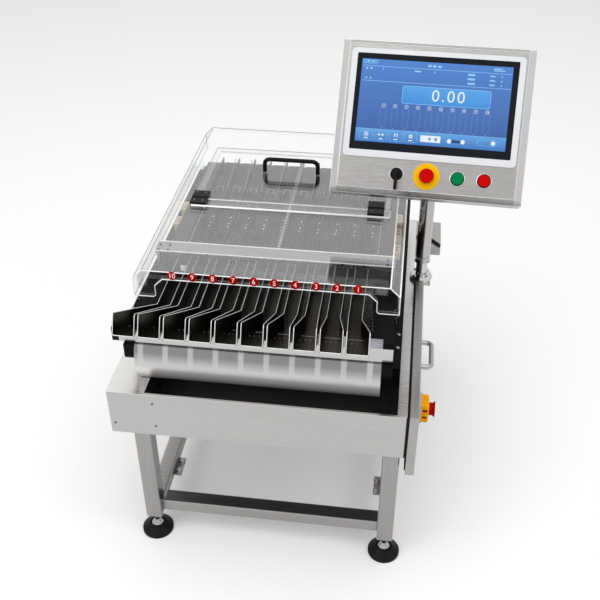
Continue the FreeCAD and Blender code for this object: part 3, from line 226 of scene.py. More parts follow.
def moulded(name, colour, rough, grain_size=900.0, strength=0.12, vary=0.06, shine=0.3):
    """Painted or moulded surface with a fine orange-peel grain."""
    mat, tree, bsdf = new_material(name)
    bsdf.inputs["Specular IOR Level"].default_value = shine
    where = object_coords(tree, (1.0, 1.0, 1.0))
    fine = noise(tree, where, grain_size, 2.0, 0.5)
    slow = noise(tree, where, 14.0, 2.0, 0.5)
    low = [max(0.0, c * (1 - vary)) for c in colour]
    high = [min(1.0, c * (1 + vary)) for c in colour]
    tree.links.new(mix_colours(tree, slow, low, high), bsdf.inputs["Base Color"])
    tree.links.new(spread(tree, fine, max(0.02, rough - 0.04), rough + 0.06),
                   bsdf.inputs["Roughness"])
    bump(tree, bsdf, fine, strength, 0.0001)
    return mat


# Distances from the display's centre: the painted shade on the lower bevel fades out between the
# first two, and the painted highlight on the side bevels begins at the third
LOW_BEVEL = (-215.0, -203.0)
SIDE_BEVEL = 205.0


def along_screen(tree, direction):
    """Distance from the display centre along one of the screen's own directions."""
    total = 0.0
    for place, middle, part in zip(axis_places(tree), SCREEN_MIDDLE, direction):
        total = sums(tree, "ADD", sums(tree, "MULTIPLY",
                                       sums(tree, "SUBTRACT", place, middle), part), total)
    return total


def box_bevels(mat):
    """Painted shade on the screen box's lower bevel and painted highlights on its side bevels."""
    tree, bsdf, colour = painted(mat)
    low = spread(tree, along_screen(tree, SCREEN_UP), 0.62, 0.0, *LOW_BEVEL)
    side = sums(tree, "GREATER_THAN",
                sums(tree, "ABSOLUTE", along_screen(tree, SCREEN_ACROSS), 0.0), SIDE_BEVEL)
    bright = mix_colours(tree, sums(tree, "MULTIPLY", side, 0.5), colour, (0.80, 0.795, 0.79))
    tree.links.new(mix_colours(tree, low, bright, (0.10, 0.098, 0.095)),
                   bsdf.inputs["Base Color"])
    return mat


# A painted dark field's half width, in mouth pitches, where it starts and ends to fade; the
# share of it that is left between two fields; and the heights between which it fades in
FIELD_HALF = (0.37, 0.41)
FIELD_GAP = 0.25
FIELD_RISE = (552.0, 580.0)


def chute_shade(mat):
    """Painted reflections: soft dark fields on the rounded cover's top, one under each chute."""
    tree, bsdf, colour = painted(mat)
    across, _, high = axis_places(tree)
    lane = sums(tree, "DIVIDE", sums(tree, "ADD", across, MOUTH_SHIFT), MOUTH_PITCH)
    in_lane = sums(tree, "FRACT", lane, 0.0)
    away = sums(tree, "ABSOLUTE", sums(tree, "SUBTRACT", in_lane, 0.5), 0.0)
    under = sums(tree, "MULTIPLY", spread(tree, away, 1.0, FIELD_GAP, *FIELD_HALF),
                 spread(tree, high, 0.0, 0.62, *FIELD_RISE))
    tree.links.new(mix_colours(tree, under, colour, (0.07, 0.068, 0.064)),
                   bsdf.inputs["Base Color"])
    return mat


def glowing(mat, strength):
    """Painted glow: cut acrylic edges pipe light out of the sheet, so they look a little brighter."""
    bsdf = main_shader(mat)
    bsdf.inputs["Emission Color"].default_value = (0.95, 0.97, 1.0, 1)
    bsdf.inputs["Emission Strength"].default_value = strength
    return mat


def polished(name, colour, rough):
    mat, tree, bsdf = new_material(name)
    bsdf.inputs["Metallic"].default_value = 1.0
    slow = noise(tree, object_coords(tree, (1.0, 1.0, 1.0)), 60.0, 2.0, 0.5)
    low = [c * 0.94 for c in colour]
    tree.links.new(mix_colours(tree, slow, low, colour), bsdf.inputs["Base Color"])
    tree.links.new(spread(tree, slow, rough, rough + 0.06), bsdf.inputs["Roughness"])
    return mat


def clear_sheet(name, mirror, tint):
    """Clear plastic sheet: see-through, with an even mirror gloss on each face."""
    mat, tree, bsdf = new_material(name)
    bsdf.inputs["Metallic"].default_value = 1.0
    bsdf.inputs["Base Color"].default_value = (0.96, 0.965, 0.97, 1)
    smear = noise(tree, object_coords(tree, (1.0, 1.0, 1.0)), 18.0, 3.0, 0.6)
    tree.links.new(spread(tree, smear, 0.02, 0.07), bsdf.inputs["Roughness"])
    seen = tree.nodes.new("ShaderNodeBsdfTransparent")
    seen.inputs[0].default_value = (*tint, 1)
    share = spread(tree, smear, mirror * 0.94, mirror * 1.06)
    mix = tree.nodes.new("ShaderNodeMixShader")
    tree.links.new(share, mix.inputs[0])
    tree.links.new(seen.outputs[0], mix.inputs[1])
    tree.links.new(bsdf.outputs[0], mix.inputs[2])
    out = next(n for n in tree.nodes if n.type == "OUTPUT_MATERIAL")
    tree.links.new(mix.outputs[0], out.inputs[0])
    return mat


def lane_look(name, dark, light, pitch):
    """Dark lane surface with fine lines that run the way the lanes run."""
    mat, tree, bsdf = new_material(name)
    bsdf.inputs["Specular IOR Level"].default_value = 0.1
    across = axis_places(tree)[0]
    wave = sums(tree, "SINE", sums(tree, "MULTIPLY", across, 2 * math.pi / pitch), 0.0)
    stripe = sums(tree, "GREATER_THAN", wave, 0.72)
    wear = noise(tree, object_coords(tree, (260.0, 2.0, 1.0)), 1.0, 3.0, 0.6)
    amount = sums(tree, "MULTIPLY", stripe, spread(tree, wear, 0.3, 1.0))
    tree.links.new(mix_colours(tree, amount, dark, light), bsdf.inputs["Base Color"])
    tree.links.new(spread(tree, wear, 0.45, 0.6), bsdf.inputs["Roughness"])
    bump(tree, bsdf, wear, 0.15, 0.0002)
    return mat


def two_tone(name, axis, limit, near, far, rough, shine):
    """Moulded plastic in one colour up to a limit along an axis and another beyond it."""
    mat = moulded(name, far, rough, 700.0, 0.08, 0.04, shine)
    tree, bsdf, colour = painted(mat)
    mask = sums(tree, "LESS_THAN", axis_places(tree)[axis], limit)
    tree.links.new(mix_colours(tree, mask, colour, near), bsdf.inputs["Base Color"])
    return mat


SCREEN_FOOT = 0.946
SCREEN_HEAD = 1.104


def lit(name, low_colour, high_colour, low=SCREEN_FOOT, high=SCREEN_HEAD):
    """Lit display colour, shaded along the object's own up axis, low and high in metres."""
    mat, tree, bsdf = new_material(name)
    coord = tree.nodes.new("ShaderNodeTexCoord")
    split = tree.nodes.new("ShaderNodeSeparateXYZ")
    tree.links.new(coord.outputs["Object"], split.inputs[0])
    slow = noise(tree, object_coords(tree, (1.0, 1.0, 1.0)), 9.0, 2.0, 0.5)
    height = spread(tree, split.outputs[2], 0.0, 1.0, low, high)
    shade = sums(tree, "ADD", height, spread(tree, slow, -0.06, 0.06))
    colour = mix_colours(tree, shade, low_colour, high_colour)
    tree.links.new(colour, bsdf.inputs["Emission Color"])
    bsdf.inputs["Emission Strength"].default_value = 1.0
    bsdf.inputs["Base Color"].default_value = (0.004, 0.004, 0.006, 1)
    bsdf.inputs["Specular IOR Level"].default_value = 0.15
    tree.links.new(spread(tree, slow, 0.10, 0.16), bsdf.inputs["Roughness"])
    return mat


STEEL_X = brushed("steel_x", (0.38, 0.372, 0.364), (0.50, 0.491, 0.482), 0.28, "x", 0.15)
# The table steel has a painted highlight on its top, brighter at the left, and painted shade inside
# the well
TABLE_STEEL = darken(sheen_top(brushed("table_steel", (0.41, 0.402, 0.393),
                                       (0.53, 0.521, 0.512), 0.27, "x", 0.15),
                               TABLE_TOP - 1, (-TABLE_SIDE, 1.6), (TABLE_SIDE, 1.4)),
                     [WELL_SHADE_BOX], 0.36)
STEEL_Y = brushed("steel_y", (0.30, 0.293, 0.286), (0.46, 0.45, 0.44), 0.30, "y")
STEEL_Z = brushed("steel_z", (0.26, 0.253, 0.247), (0.42, 0.41, 0.40), 0.30, "z")
# Painted shade on the top face of the front lower rail, under the table
RAIL_SHADE_BOX = ((-250, 300), (20, 68), (105, 110))
RAIL_STEEL = darken(brushed("rail_steel", (0.28, 0.273, 0.266), (0.44, 0.43, 0.42), 0.30, "x"),
                    [RAIL_SHADE_BOX], 0.35)
# The rounded cover's steel has painted reflections of the chutes' dark undersides along its top
DRUM_STEEL = chute_shade(brushed("drum_steel", (0.56, 0.553, 0.546), (0.70, 0.692, 0.684),
                                 0.36, "x", 0.2, 0.5))
BAR_STEEL = brushed("bar_steel", (0.46, 0.452, 0.445), (0.60, 0.592, 0.584), 0.24, "x")
# The screen box steel has a lower bevel darker, and side bevels brighter, than its face: painted light
SCREEN_STEEL = box_bevels(brushed("screen_steel", (0.33, 0.32, 0.312), (0.45, 0.44, 0.43), 0.25,
                                  "x", 0.2))
# Painted shade: the well pan's steel is near black for the shade in the well
PAN_PAINTED_SHADE = brushed("pan_steel_painted_shade", (0.05, 0.049, 0.047), (0.10, 0.097, 0.094), 0.3, "x")
# Painted shade: the chute steel is near black for the shade inside the troughs
CHUTE_PAINTED_SHADE = brushed("chute_steel_painted_shade", (0.026, 0.0245, 0.0205), (0.062, 0.058, 0.049), 0.30, "y")
POLE_STEEL = brushed("pole_steel", (0.40, 0.393, 0.386), (0.47, 0.461, 0.452), 0.13, "z", 0.1)
BRIGHT = polished("bright", (0.58, 0.572, 0.565), 0.12)
CHROME = polished("chrome", (0.40, 0.395, 0.39), 0.08)
EDGE_METAL = polished("edge_metal", (0.78, 0.775, 0.765), 0.32)
BLACK = moulded("black_paint", (0.003, 0.003, 0.0032), 0.36, shine=0.06)
RUBBER = moulded("rubber", (0.005, 0.005, 0.005), 0.42, 600.0, 0.2, shine=0.12)
BLACK_PLASTIC = moulded("black_plastic", (0.005, 0.005, 0.0055), 0.3, shine=0.12)
YELLOW = moulded("yellow", (0.97, 0.53, 0.006), 0.4, shine=0.05)
RED = moulded("red", (0.56, 0.001, 0.001), 0.3, shine=0.04)
KNOB_RED = moulded("knob_red", (0.42, 0.001, 0.001), 0.3, shine=0.04)
GREEN = moulded("green", (0.0005, 0.20, 0.066), 0.3, shine=0.04)
BEIGE = moulded("beige", (0.70, 0.58, 0.36), 0.5, shine=0.2)
LANE_DARK = lane_look("lane_dark", (0.008, 0.008, 0.009), (0.12, 0.12, 0.128), 8.6)
BED_DARK = moulded("bed_dark", (0.06, 0.06, 0.063), 0.5, 500.0, 0.2, shine=0.15)
LANE_EDGE = brushed("lane_edge", (0.03, 0.03, 0.03), (0.07, 0.07, 0.07), 0.35, "y")
SPINE = brushed("spine", (0.12, 0.12, 0.12), (0.18, 0.18, 0.18), 0.35, "y")
CLEAR = clear_sheet("clear", 0.15, (0.993, 0.995, 0.997))
CLEAR_FIN = clear_sheet("clear_fin", 0.08, (0.97, 0.975, 0.98))
WHITE_FRAME = moulded("white_frame", (0.74, 0.75, 0.77), 0.35, shine=0.3)
GLASS_BLACK = moulded("glass_black", (0.006, 0.008, 0.013), 0.08, 900.0, 0.0, shine=0.12)
SWITCH_BASE_END = 381.0
SWITCH = two_tone("switch_body", 0, SWITCH_BASE_END, (0.52, 0.52, 0.53), (0.96, 0.42, 0.002),
                  0.4, 0.04)
# Acrylic edges and white marks get a painted glow: a little emission on top of their colour
EDGE_WHITE = glowing(moulded("edge_white", (0.86, 0.87, 0.88), 0.3, 400.0, 0.05, 0.04, 0.3), 0.22)
EDGE_GREY = moulded("edge_grey", (0.36, 0.365, 0.37), 0.35, 400.0, 0.05, 0.04, 0.2)
STRIP = brushed("strip_metal", (0.30, 0.30, 0.30), (0.46, 0.46, 0.46), 0.3, "x")
GREY_PLASTIC = moulded("grey_plastic", (0.17, 0.175, 0.18), 0.5, shine=0.2)
DARK_MARK = moulded("dark_mark", (0.16, 0.006, 0.003), 0.5, shine=0.1)
WHITE_MARK = glowing(moulded("white_mark", (0.86, 0.87, 0.88), 0.5, 500.0, 0.05, 0.03, 0.1),
                     0.25)

LOOKS = {
    "steel": STEEL_X, "black": BLACK, "bright": BRIGHT, "rubber": RUBBER,
    "clear": CLEAR, "black_plastic": BLACK_PLASTIC, "yellow": YELLOW, "red": RED,
    "green": GREEN, "beige": BEIGE, "belt": LANE_DARK, "white_box": WHITE_FRAME,
    "display": GLASS_BLACK,
}
OWN_LOOK = {
    "table_body": TABLE_STEEL, "legs": STEEL_Z, "lower_rails": RAIL_STEEL,
    "rounded_cover": DRUM_STEEL, "chutes": CHUTE_PAINTED_SHADE, "side_door": STEEL_Y,
    "side_cowl": STEEL_Y, "pole": POLE_STEEL, "well_pan": PAN_PAINTED_SHADE,
    "lane_walls": LANE_EDGE, "lane_bed": BED_DARK, "centre_rail": SPINE,
    "screen_box": SCREEN_STEEL, "isolator_base": SWITCH, "isolator_knob": KNOB_RED,
    "clear_dividers": CLEAR_FIN, "cross_strip": STRIP, "chute_bar": BAR_STEEL,
    "door_handle": CHROME, "foot_stems": CHROME, "pole_ring": BRIGHT, "key": BLACK_PLASTIC,
    "key_barrel": BLACK_PLASTIC, "button_rings": BLACK_PLASTIC,
}


def dress(obj, mat):
    obj.data.materials.clear()
    obj.data.materials.append(mat)


for node_name, obj in NODES.items():
    dress(obj, OWN_LOOK.get(node_name, LOOKS[NODE_SLOT[node_name]]))


def ease(obj, width):
    """Round an object's sharp edges by a width in millimetres."""
    edge = obj.modifiers.new("edge", "BEVEL")
    edge.width = width * MM
    edge.segments = 2
    edge.limit_method = "ANGLE"
    edge.angle_limit = math.radians(40)
    edge.use_clamp_overlap = True


def soften(node_name, width):
    """Round a carried-over node's sharp edges so that they catch the light."""
    obj = NODES[node_name]
    weld = obj.modifiers.new("weld", "WELD")
    weld.merge_threshold = 0.02 * MM
    ease(obj, width)


for node_name, width in (
        ("lower_rails", 1.5), ("bar_plug", 1.0), ("hinge_fixed_leaves", 0.8),
        ("hinge_lid_leaves", 0.8), ("key", 0.8), ("sensor_blocks", 0.8), ("floor_tabs", 0.8),
        ("cross_strip", 0.8), ("strip_posts", 0.8), ("frame_blocks", 1.0),
        ("outer_brackets", 1.0), ("shoulder_plates", 1.0), ("side_cowl", 0.8),
        ("screen_bracket", 1.5), ("hood_feet", 0.6), ("pole_shelf", 0.6), ("screen_box", 1.2)):
    soften(node_name, width)

# Making pieces

UPRIGHT = Matrix.Identity(3)
FACING_FRONT = Matrix(((1, 0, 0), (0, 0, -1), (0, 1, 0)))
FACING_RIGHT = Matrix(((0, 0, 1), (1, 0, 0), (0, 1, 0)))


def add(name, data, mat, body="stand"):
    obj = bpy.data.objects.new(name, data)
    bpy.context.scene.collection.objects.link(obj)
    dress(obj, mat)
    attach(obj, body)
    return obj


def frame_at(place, turn=UPRIGHT):
    return Matrix.Translation(place) @ turn.to_4x4()


def lathe(mesh, profile, where, around=20):
    """Turn a profile of (radius, height) pairs, in millimetres, about its own upright axis."""
    rings = []
    for radius, height in profile:
        if radius == 0:
            rings.append([mesh.verts.new(where @ Vector((0, 0, height * MM)))])
            continue
        ring = []
        for i in range(around):
            angle = 2 * math.pi * i / around
            ring.append(mesh.verts.new(where @ Vector((radius * MM * math.cos(angle),
                                                       radius * MM * math.sin(angle),
                                                       height * MM))))
        rings.append(ring)
    for low, high in zip(rings, rings[1:]):
        for i in range(around):
            j = (i + 1) % around
            corners = [low[i % len(low)], low[j % len(low)], high[j % len(high)],
                       high[i % len(high)]]
            unique = list(dict.fromkeys(corners))
            if len(unique) > 2:
                mesh.faces.new(unique).smooth = True


def prism(mesh, outline, where, low, high):
    """Straight-sided solid on an outline of (x, y) points, in millimetres."""
    bottom = [mesh.verts.new(where @ Vector((x * MM, y * MM, low * MM))) for x, y in outline]
    top = [mesh.verts.new(where @ Vector((x * MM, y * MM, high * MM))) for x, y in outline]
    mesh.faces.new(list(reversed(bottom)))
    mesh.faces.new(top)
    for i in range(len(outline)):
        j = (i + 1) % len(outline)
        mesh.faces.new((bottom[i], bottom[j], top[j], top[i]))


def rounded(wide, high, radius, steps=4):
    """Outline of a rectangle with rounded corners about its own middle."""
    points = []
    for side_x, side_y, start in ((1, 1, 0), (-1, 1, 90), (-1, -1, 180), (1, -1, 270)):
        cx, cy = side_x * (wide / 2 - radius), side_y * (high / 2 - radius)
        for i in range(steps + 1):
            angle = math.radians(start + 90 * i / steps)
            points.append((cx + radius * math.cos(angle), cy + radius * math.sin(angle)))
    return points


def finish_mesh(mesh, name):
    """Close off a mesh under way and keep corners over 35 degrees sharp."""
    bmesh.ops.recalc_face_normals(mesh, faces=mesh.faces)
    data = bpy.data.meshes.new(name)
    mesh.to_mesh(data)
    mesh.free()
    data.set_sharp_from_angle(angle=math.radians(35))
    return data


def turned(name, profile, frames, mat, body="stand", around=20):
    """The same turned piece at several places."""
    mesh = bmesh.new()
    for where in frames:
        lathe(mesh, profile, where, around)
    return add(name, finish_mesh(mesh, name), mat, body)


def plates(name, shapes, mat, body="stand", bevel=0.4):
    """Flat pieces, each an outline, its frame and its lower and upper faces, edges eased."""
    mesh = bmesh.new()
    for outline, where, low, high in shapes:
        prism(mesh, outline, where, low, high)
    obj = add(name, finish_mesh(mesh, name), mat, body)
    if bevel:
        ease(obj, bevel)


def wires(name, paths, radius, mat, body="stand", closed=False):
    """Round beads along runs of points; a fourth number scales the radius at a point."""
    data = bpy.data.curves.new(name, "CURVE")
    data.dimensions = "3D"
    data.bevel_depth = radius * MM
    data.bevel_resolution = 1
    data.use_fill_caps = True
    for path in paths:
        spline = data.splines.new("POLY")
        spline.points.add(len(path) - 1)
        spline.use_cyclic_u = closed
        for point, place in zip(spline.points, path):
            at = place[0] if isinstance(place[0], Vector) else spot(*place[:3])
            point.co = (*at, 1)
            point.radius = place[3] if len(place) > 3 else 1.0
    return add(name, data, mat, body)


def words(name, text, high, where, mat, body="stand", thick=0.25, width=1.0):
    """A number: centred on its frame, its digits this many millimetres high."""
    data = bpy.data.curves.new(name, "FONT")
    data.body = text
    data.align_x = "CENTER"
    data.align_y = "CENTER"
    data.size = high / 0.72 * MM
    data.space_character = width
    data.extrude = thick * MM
    data.resolution_u = 3
    obj = add(name, data, mat, body)
    obj.matrix_world = where
    return obj


DOME = [(1.0, -0.3), (1.0, 0.25), (0.8, 0.6), (0.42, 0.85), (0, 0.95)]


def domes(radius):
    return [(r * radius, h * radius) for r, h in DOME]


def socket_screw(radius):
    """Round screw head with a sunk socket, its foot just below the face it sits on."""
    return [(0, -0.3), (radius, -0.3), (radius, radius * 0.55), (radius * 0.86, radius * 0.75),
            (radius * 0.5, radius * 0.75), (radius * 0.46, radius * 0.3), (0, radius * 0.3)]


# Chutes: bright cut edges, a bend line and rivets on each floor

SHEET_MID = 0.75
CHUTE_TOP = 679.5
FLOOR_MID = 635.25
HALF_NARROW = 15.75
HALF_WIDE = 25.5
MOUTH_FRONT = 27.0
MOUTH_TOP = 49.0
KNEE = 51.0
BEND = 97.0
CHUTE_END = 300.0
TOP_CUT = 3.0
TOP_BEAD = 0.66
FRONT_BEAD = 1.25
FLOOR_TOP = FLOOR_MID + 0.7
CREASE = 79.0
RIVET_ROW = 64.5


def lane_middle(lane):
    return (5.5 - lane) * LANE_PITCH


def wall_edge(side, lane_x, mouth_x):
    """Top and front edge of one chute wall, from its back end to the lip of the floor."""
    narrow = lane_x + side * (HALF_NARROW - SHEET_MID)
    wide = mouth_x + side * (HALF_WIDE - SHEET_MID)
    return [(narrow, CHUTE_END, CHUTE_TOP, TOP_BEAD),
            (narrow, BEND, CHUTE_TOP, TOP_BEAD),
            (wide, KNEE + 3, CHUTE_TOP, TOP_BEAD),
            (wide, MOUTH_TOP + 1, CHUTE_TOP - 0.5, 1.0),
            (wide, MOUTH_TOP - 1.6, CHUTE_TOP - TOP_CUT, FRONT_BEAD),
            (wide, MOUTH_FRONT + 1.5, FLOOR_MID + 2.5, FRONT_BEAD),
            (wide - side * 2.5, MOUTH_FRONT + 0.4, FLOOR_MID, FRONT_BEAD)]


edges = []
bends = []
rivets = []
for lane in LANES:
    lane_x = lane_middle(lane)
    mouth_x = (5.5 - lane) * MOUTH_PITCH - MOUTH_SHIFT
    edges.append(wall_edge(-1, lane_x, mouth_x) + wall_edge(1, lane_x, mouth_x)[::-1])
    crease_x = (mouth_x + lane_x) / 2
    crease_half = (HALF_WIDE + HALF_NARROW) / 2 - SHEET_MID - 1
    bends.append([(crease_x - crease_half, CREASE, FLOOR_TOP),
                  (crease_x + crease_half, CREASE, FLOOR_TOP)])
    for off in (-11, 0, 11):
        rivets.append(frame_at(spot(mouth_x * 0.985 + off, RIVET_ROW, FLOOR_TOP)))
wires("chute_edges", edges, 1.0, EDGE_METAL)
wires("chute_bends", bends, 0.35, RAIL_STEEL)
turned("chute_rivets", domes(1.2), rivets, POLE_STEEL, around=12)

# Clear hood: polished edges of its sheets, lid and strip

HALF = 311.5
FLAT = 288.6
HOOD_TOP = 712.0
FOLD = 689.0
HOOD_LOW = 640.0
HOOD_FRONT = 178.0
HOOD_BACK = 966.0
LID_LEFT = -243.0
LID_RIGHT = 271.0

folds = {}
for side in (-1, 1):
    folds[side] = [[(side * x, HOOD_FRONT, z), (side * x, HOOD_BACK, z)]
                   for x, z in ((HALF, FOLD), (FLAT, HOOD_TOP), (HALF, HOOD_LOW + 0.8))]
folds[-1].append([(-HALF, HOOD_BACK, HOOD_LOW), (-HALF, HOOD_BACK, FOLD),
                  (-FLAT, HOOD_BACK, HOOD_TOP), (FLAT, HOOD_BACK, HOOD_TOP),
                  (HALF, HOOD_BACK, FOLD), (HALF, HOOD_BACK, HOOD_LOW)])
# Painted light: the same folds are thin and grey on the left, thick and white on the right
wires("hood_folds_left", folds[-1], 1.0, EDGE_GREY)
wires("hood_folds_right", folds[1], 1.7, EDGE_WHITE)

NOTCH = [(-HALF, HOOD_LOW), (-HALF, FOLD), (-FLAT, HOOD_TOP), (FLAT, HOOD_TOP), (HALF, FOLD),
         (HALF, HOOD_LOW), (265, HOOD_LOW), (260, 645), (260, 672), (240.5, 691), (-240.5, 691),
         (-260, 672), (-260, 645), (-265, HOOD_LOW)]
wires("hood_front_edge", [[(x, HOOD_FRONT, z) for x, z in NOTCH]], 1.35, EDGE_WHITE,
      closed=True)


def around_plate(left, right, front, back, high, radius):
    middle = ((left + right) / 2, (front + back) / 2)
    return [(middle[0] + x, middle[1] + y, high)
            for x, y in rounded(right - left, back - front, radius)]


wires("lid_edge", [around_plate(LID_LEFT, LID_RIGHT, 522, 822, 717.2, 6)], 0.9, EDGE_GREY,
      "lid", closed=True)
wires("strip_edge", [around_plate(LID_LEFT, LID_RIGHT, 487, 520, 716.8, 2)], 0.8, EDGE_WHITE,
      closed=True)
wires("strip_front_edge", [[(LID_LEFT, 487, 714.5), (LID_RIGHT, 487, 714.5)]], 2.2, EDGE_WHITE)
wires("opening_edge", [around_plate(-231, 259, 534, 810, 711.6, 4)], 0.6, EDGE_GREY,
      closed=True)
wires("divider_edges",
      [[(x, 680, 660), (x, 801, 690), (x, 815, 690), (x, 815, 642)]
       for x in [(5.0 - i) * LANE_PITCH + 2.7 for i in (1, 2, 3, 4, 6, 7, 8, 9)]],
      0.5, EDGE_GREY)

# Red lane numbers on the hood's front

BADGE_HIGH = 703.4
BADGE_TALL = 1.12
badge_frames = [frame_at(spot(lane_middle(lane), HOOD_FRONT, BADGE_HIGH), FACING_FRONT)
                @ Matrix.Diagonal((1, BADGE_TALL, 1, 1)) for lane in LANES]
turned("lane_badges", [(0, -0.2), (9.6, -0.2), (10.4, 0.2), (10.4, 1.2), (9.9, 1.7), (0, 1.8)],
       badge_frames, RED, around=40)
for lane, where in enumerate(badge_frames, start=1):
    words("lane_number_%d" % lane, str(lane), 12.0, where @ Matrix.Translation((0, 0, 2.1 * MM)),
          WHITE_MARK, thick=0.25)

# Cross strip, sensor, hinge and lane small parts

STRIP_TOP = 686.0
STRIP_END = 293.0
turned("strip_screws", socket_screw(3.2),
       [frame_at(spot(x, 299, STRIP_TOP)) for x in (-209, -161, -114, -67, -19, 28, 74, 121, 169, 221)]
       + [frame_at(spot(x, y, STRIP_TOP)) for x in (-286, -262, 276, 288) for y in (312, 334)],
       BLACK_PLASTIC)
# Painted highlights along the cross strip's front and back edges
wires("strip_edge_highlights",
      [[(-STRIP_END, y, STRIP_TOP + 0.3), (STRIP_END, y, STRIP_TOP + 0.3)] for y in (306, 351)],
      1.5, EDGE_WHITE)
HINGE_TOP = 723.0
HINGE_LINE = 520.0
hinge_spots = [(x + dx, y) for x in (-226, 234) for dx in (-11, 11) for y in (501, 541)]
turned("hinge_screws_fixed", socket_screw(2.6),
       [frame_at(spot(x, y, HINGE_TOP)) for x, y in hinge_spots if y < HINGE_LINE], GREY_PLASTIC)
turned("hinge_screws_lid", socket_screw(2.6),
       [frame_at(spot(x, y, HINGE_TOP + 0.5)) for x, y in hinge_spots if y > HINGE_LINE],
       GREY_PLASTIC, "lid")
turned("rail_screws", domes(1.8),
       [frame_at(spot(x, 398 + 12.5 * i, z)) for x, z in ((-238, 644), (0, 664), (248, 640))
        for i in range(17)], WHITE_MARK, around=10)
turned("lane_lights", domes(2.1),
       [frame_at(spot(lane_middle(lane) + 13, y, 644)) for lane in LANES for y in (507, 524, 557)],
       WHITE_MARK, around=10)
clips = []
for lane in LANES:
    x = lane_middle(lane)
    clips.append([(x - 9, 700, 644.6), (x - 9, 716, 650), (x + 9, 716, 650), (x + 9, 700, 644.6)])
wires("lane_clips", clips, 1.0, EDGE_GREY)
eyes = []
for x, y in ((-296, 542), (-296, 622), (295.5, 472), (295.5, 552), (295.5, 627)):
    eyes += [frame_at(spot(x, y - 7, 634)), frame_at(spot(x, y + 7, 634))]
turned("sensor_eyes", [(0, -0.2), (3.2, -0.2), (3.2, 0.5), (2.2, 0.7), (1.6, 0.2), (0, 0.2)], eyes,
       GREY_PLASTIC, around=16)

# Stand, table and door small parts

turned("panel_screws", socket_screw(2.6),
       [frame_at(spot(x, 0, z), FACING_FRONT) for x, z in ((-335, 393), (-237, 393), (-239, 462))],
       GREY_PLASTIC)


def hexagon(across):
    radius = across / math.sqrt(3)
    return [(radius * math.cos(math.radians(60 * i + 30)),
             radius * math.sin(math.radians(60 * i + 30))) for i in range(6)]


TAB_TOP = 76.0
tab_bolts = [frame_at(spot(x, y, TAB_TOP)) for x in (-246.5, 288.9) for y in (158, 192)]
plates("tab_bolts", [(hexagon(13), where, 1.5, 7.5) for where in tab_bolts], BRIGHT,
       bevel=0.8)
turned("tab_washers", [(0, -0.2), (9.5, -0.2), (10, 0.2), (10, 1.3), (9.5, 1.7), (0, 1.7)],
       tab_bolts, BRIGHT)
turned("shoulder_bolts", socket_screw(4.0),
       [frame_at(spot(x, y, 614)) for x, y in ((314, 90), (314, 138), (-314, 160), (-314, 210))],
       BRIGHT)
turned("shoulder_screws", domes(1.6),
       [frame_at(spot(247 + 7 * i / 9, 240 - 13 * i, 634)) for i in range(10)], GREY_PLASTIC,
       around=10)
plates("door_strip", [(((349.4, 2), (352.3, 2), (352.3, 520), (349.4, 520)),
                       Matrix.Translation(ORIGIN), 322, 363)], RUBBER, "door",
       bevel=0.5)
POLE_X = 364.5
POLE_Y = 564.0
BOLT_OUT = 23.0 / math.sqrt(2)
turned("flange_bolts", socket_screw(3.6),
       [frame_at(spot(POLE_X + side_x * BOLT_OUT, POLE_Y + side_y * BOLT_OUT, 505))
        for side_x, side_y in ((1, 1), (-1, 1), (-1, -1), (1, -1))], BRIGHT)
turned("pole_band", [(19.6, -0.8), (21.2, -0.4), (21.2, 0.4), (19.6, 0.8)],
       [frame_at(spot(POLE_X, POLE_Y, 560))], EDGE_METAL, around=40)

# Painted highlights: bright beads along the folded edges of the table and the door

FOLD_LEFT = (-TABLE_SIDE + 0.8, 0.8, TABLE_TOP - 0.7)
FOLD_RIGHT = (TABLE_SIDE - 0.8, 0.8, TABLE_TOP - 0.7)
FOLD_BACK = (-TABLE_SIDE + 0.8, 871, TABLE_TOP - 0.7)
wires("table_folds", [[FOLD_LEFT, FOLD_RIGHT], [FOLD_LEFT, FOLD_BACK]], 0.8, EDGE_METAL)
DOOR_CORNER = (353.4, -9.2, 499.3)
wires("door_folds", [[DOOR_CORNER, (372.2, -9.2, 499.3)], [DOOR_CORNER, (353.4, -9.2, 322)]], 0.7,
      EDGE_METAL, "door")

# Isolator: screws on its base plate and dark marks on its front

SWITCH_Y = 134.0
SWITCH_Z = 402.0
turned("isolator_screws", socket_screw(1.8),
       [frame_at(spot(380.8, SWITCH_Y + y, SWITCH_Z + z), FACING_RIGHT)
        for y in (-24.3, 24.3) for z in (-24.3, 24.3)], GREY_PLASTIC)
BODY_FRONT = frame_at(spot(0, SWITCH_Y - 23.5, 0), FACING_FRONT)
plates("isolator_marks",
       [(((384, 411), (396, 411), (396, 417.5), (384, 417.5)), BODY_FRONT, -0.1, 0.5),
        (((384, 391), (394, 391), (394, 396.5), (384, 396.5)), BODY_FRONT, -0.1, 0.5)],
       DARK_MARK, bevel=0.15)

# Display: a lit panel on the black glass, with plain shapes for its page

PANEL = (Matrix.Translation(spot(*SCREEN_MIDDLE)) @ SCREEN_TURN @ FACING_FRONT.to_4x4())
GLASS = 3.0

PAGE = lit("page", (0.052, 0.118, 0.36), (0.088, 0.235, 0.62))
PAGE_BAR = lit("page_bar", (0.05, 0.17, 0.50), (0.12, 0.36, 0.74), SCREEN_FOOT, 0.972)
PAGE_BOX = lit("page_box", (0.055, 0.27, 0.68), (0.10, 0.38, 0.80), 1.02, 1.06)
PAGE_LINE = lit("page_line", (0.22, 0.50, 0.88), (0.30, 0.62, 0.95))
PAGE_FAINT = lit("page_faint", (0.16, 0.27, 0.56), (0.20, 0.33, 0.62))
PAGE_WHITE = lit("page_white", (0.78, 0.86, 0.95), (0.82, 0.90, 0.98))
PAGE_DARK = lit("page_dark", (0.02, 0.05, 0.20), (0.03, 0.07, 0.26))


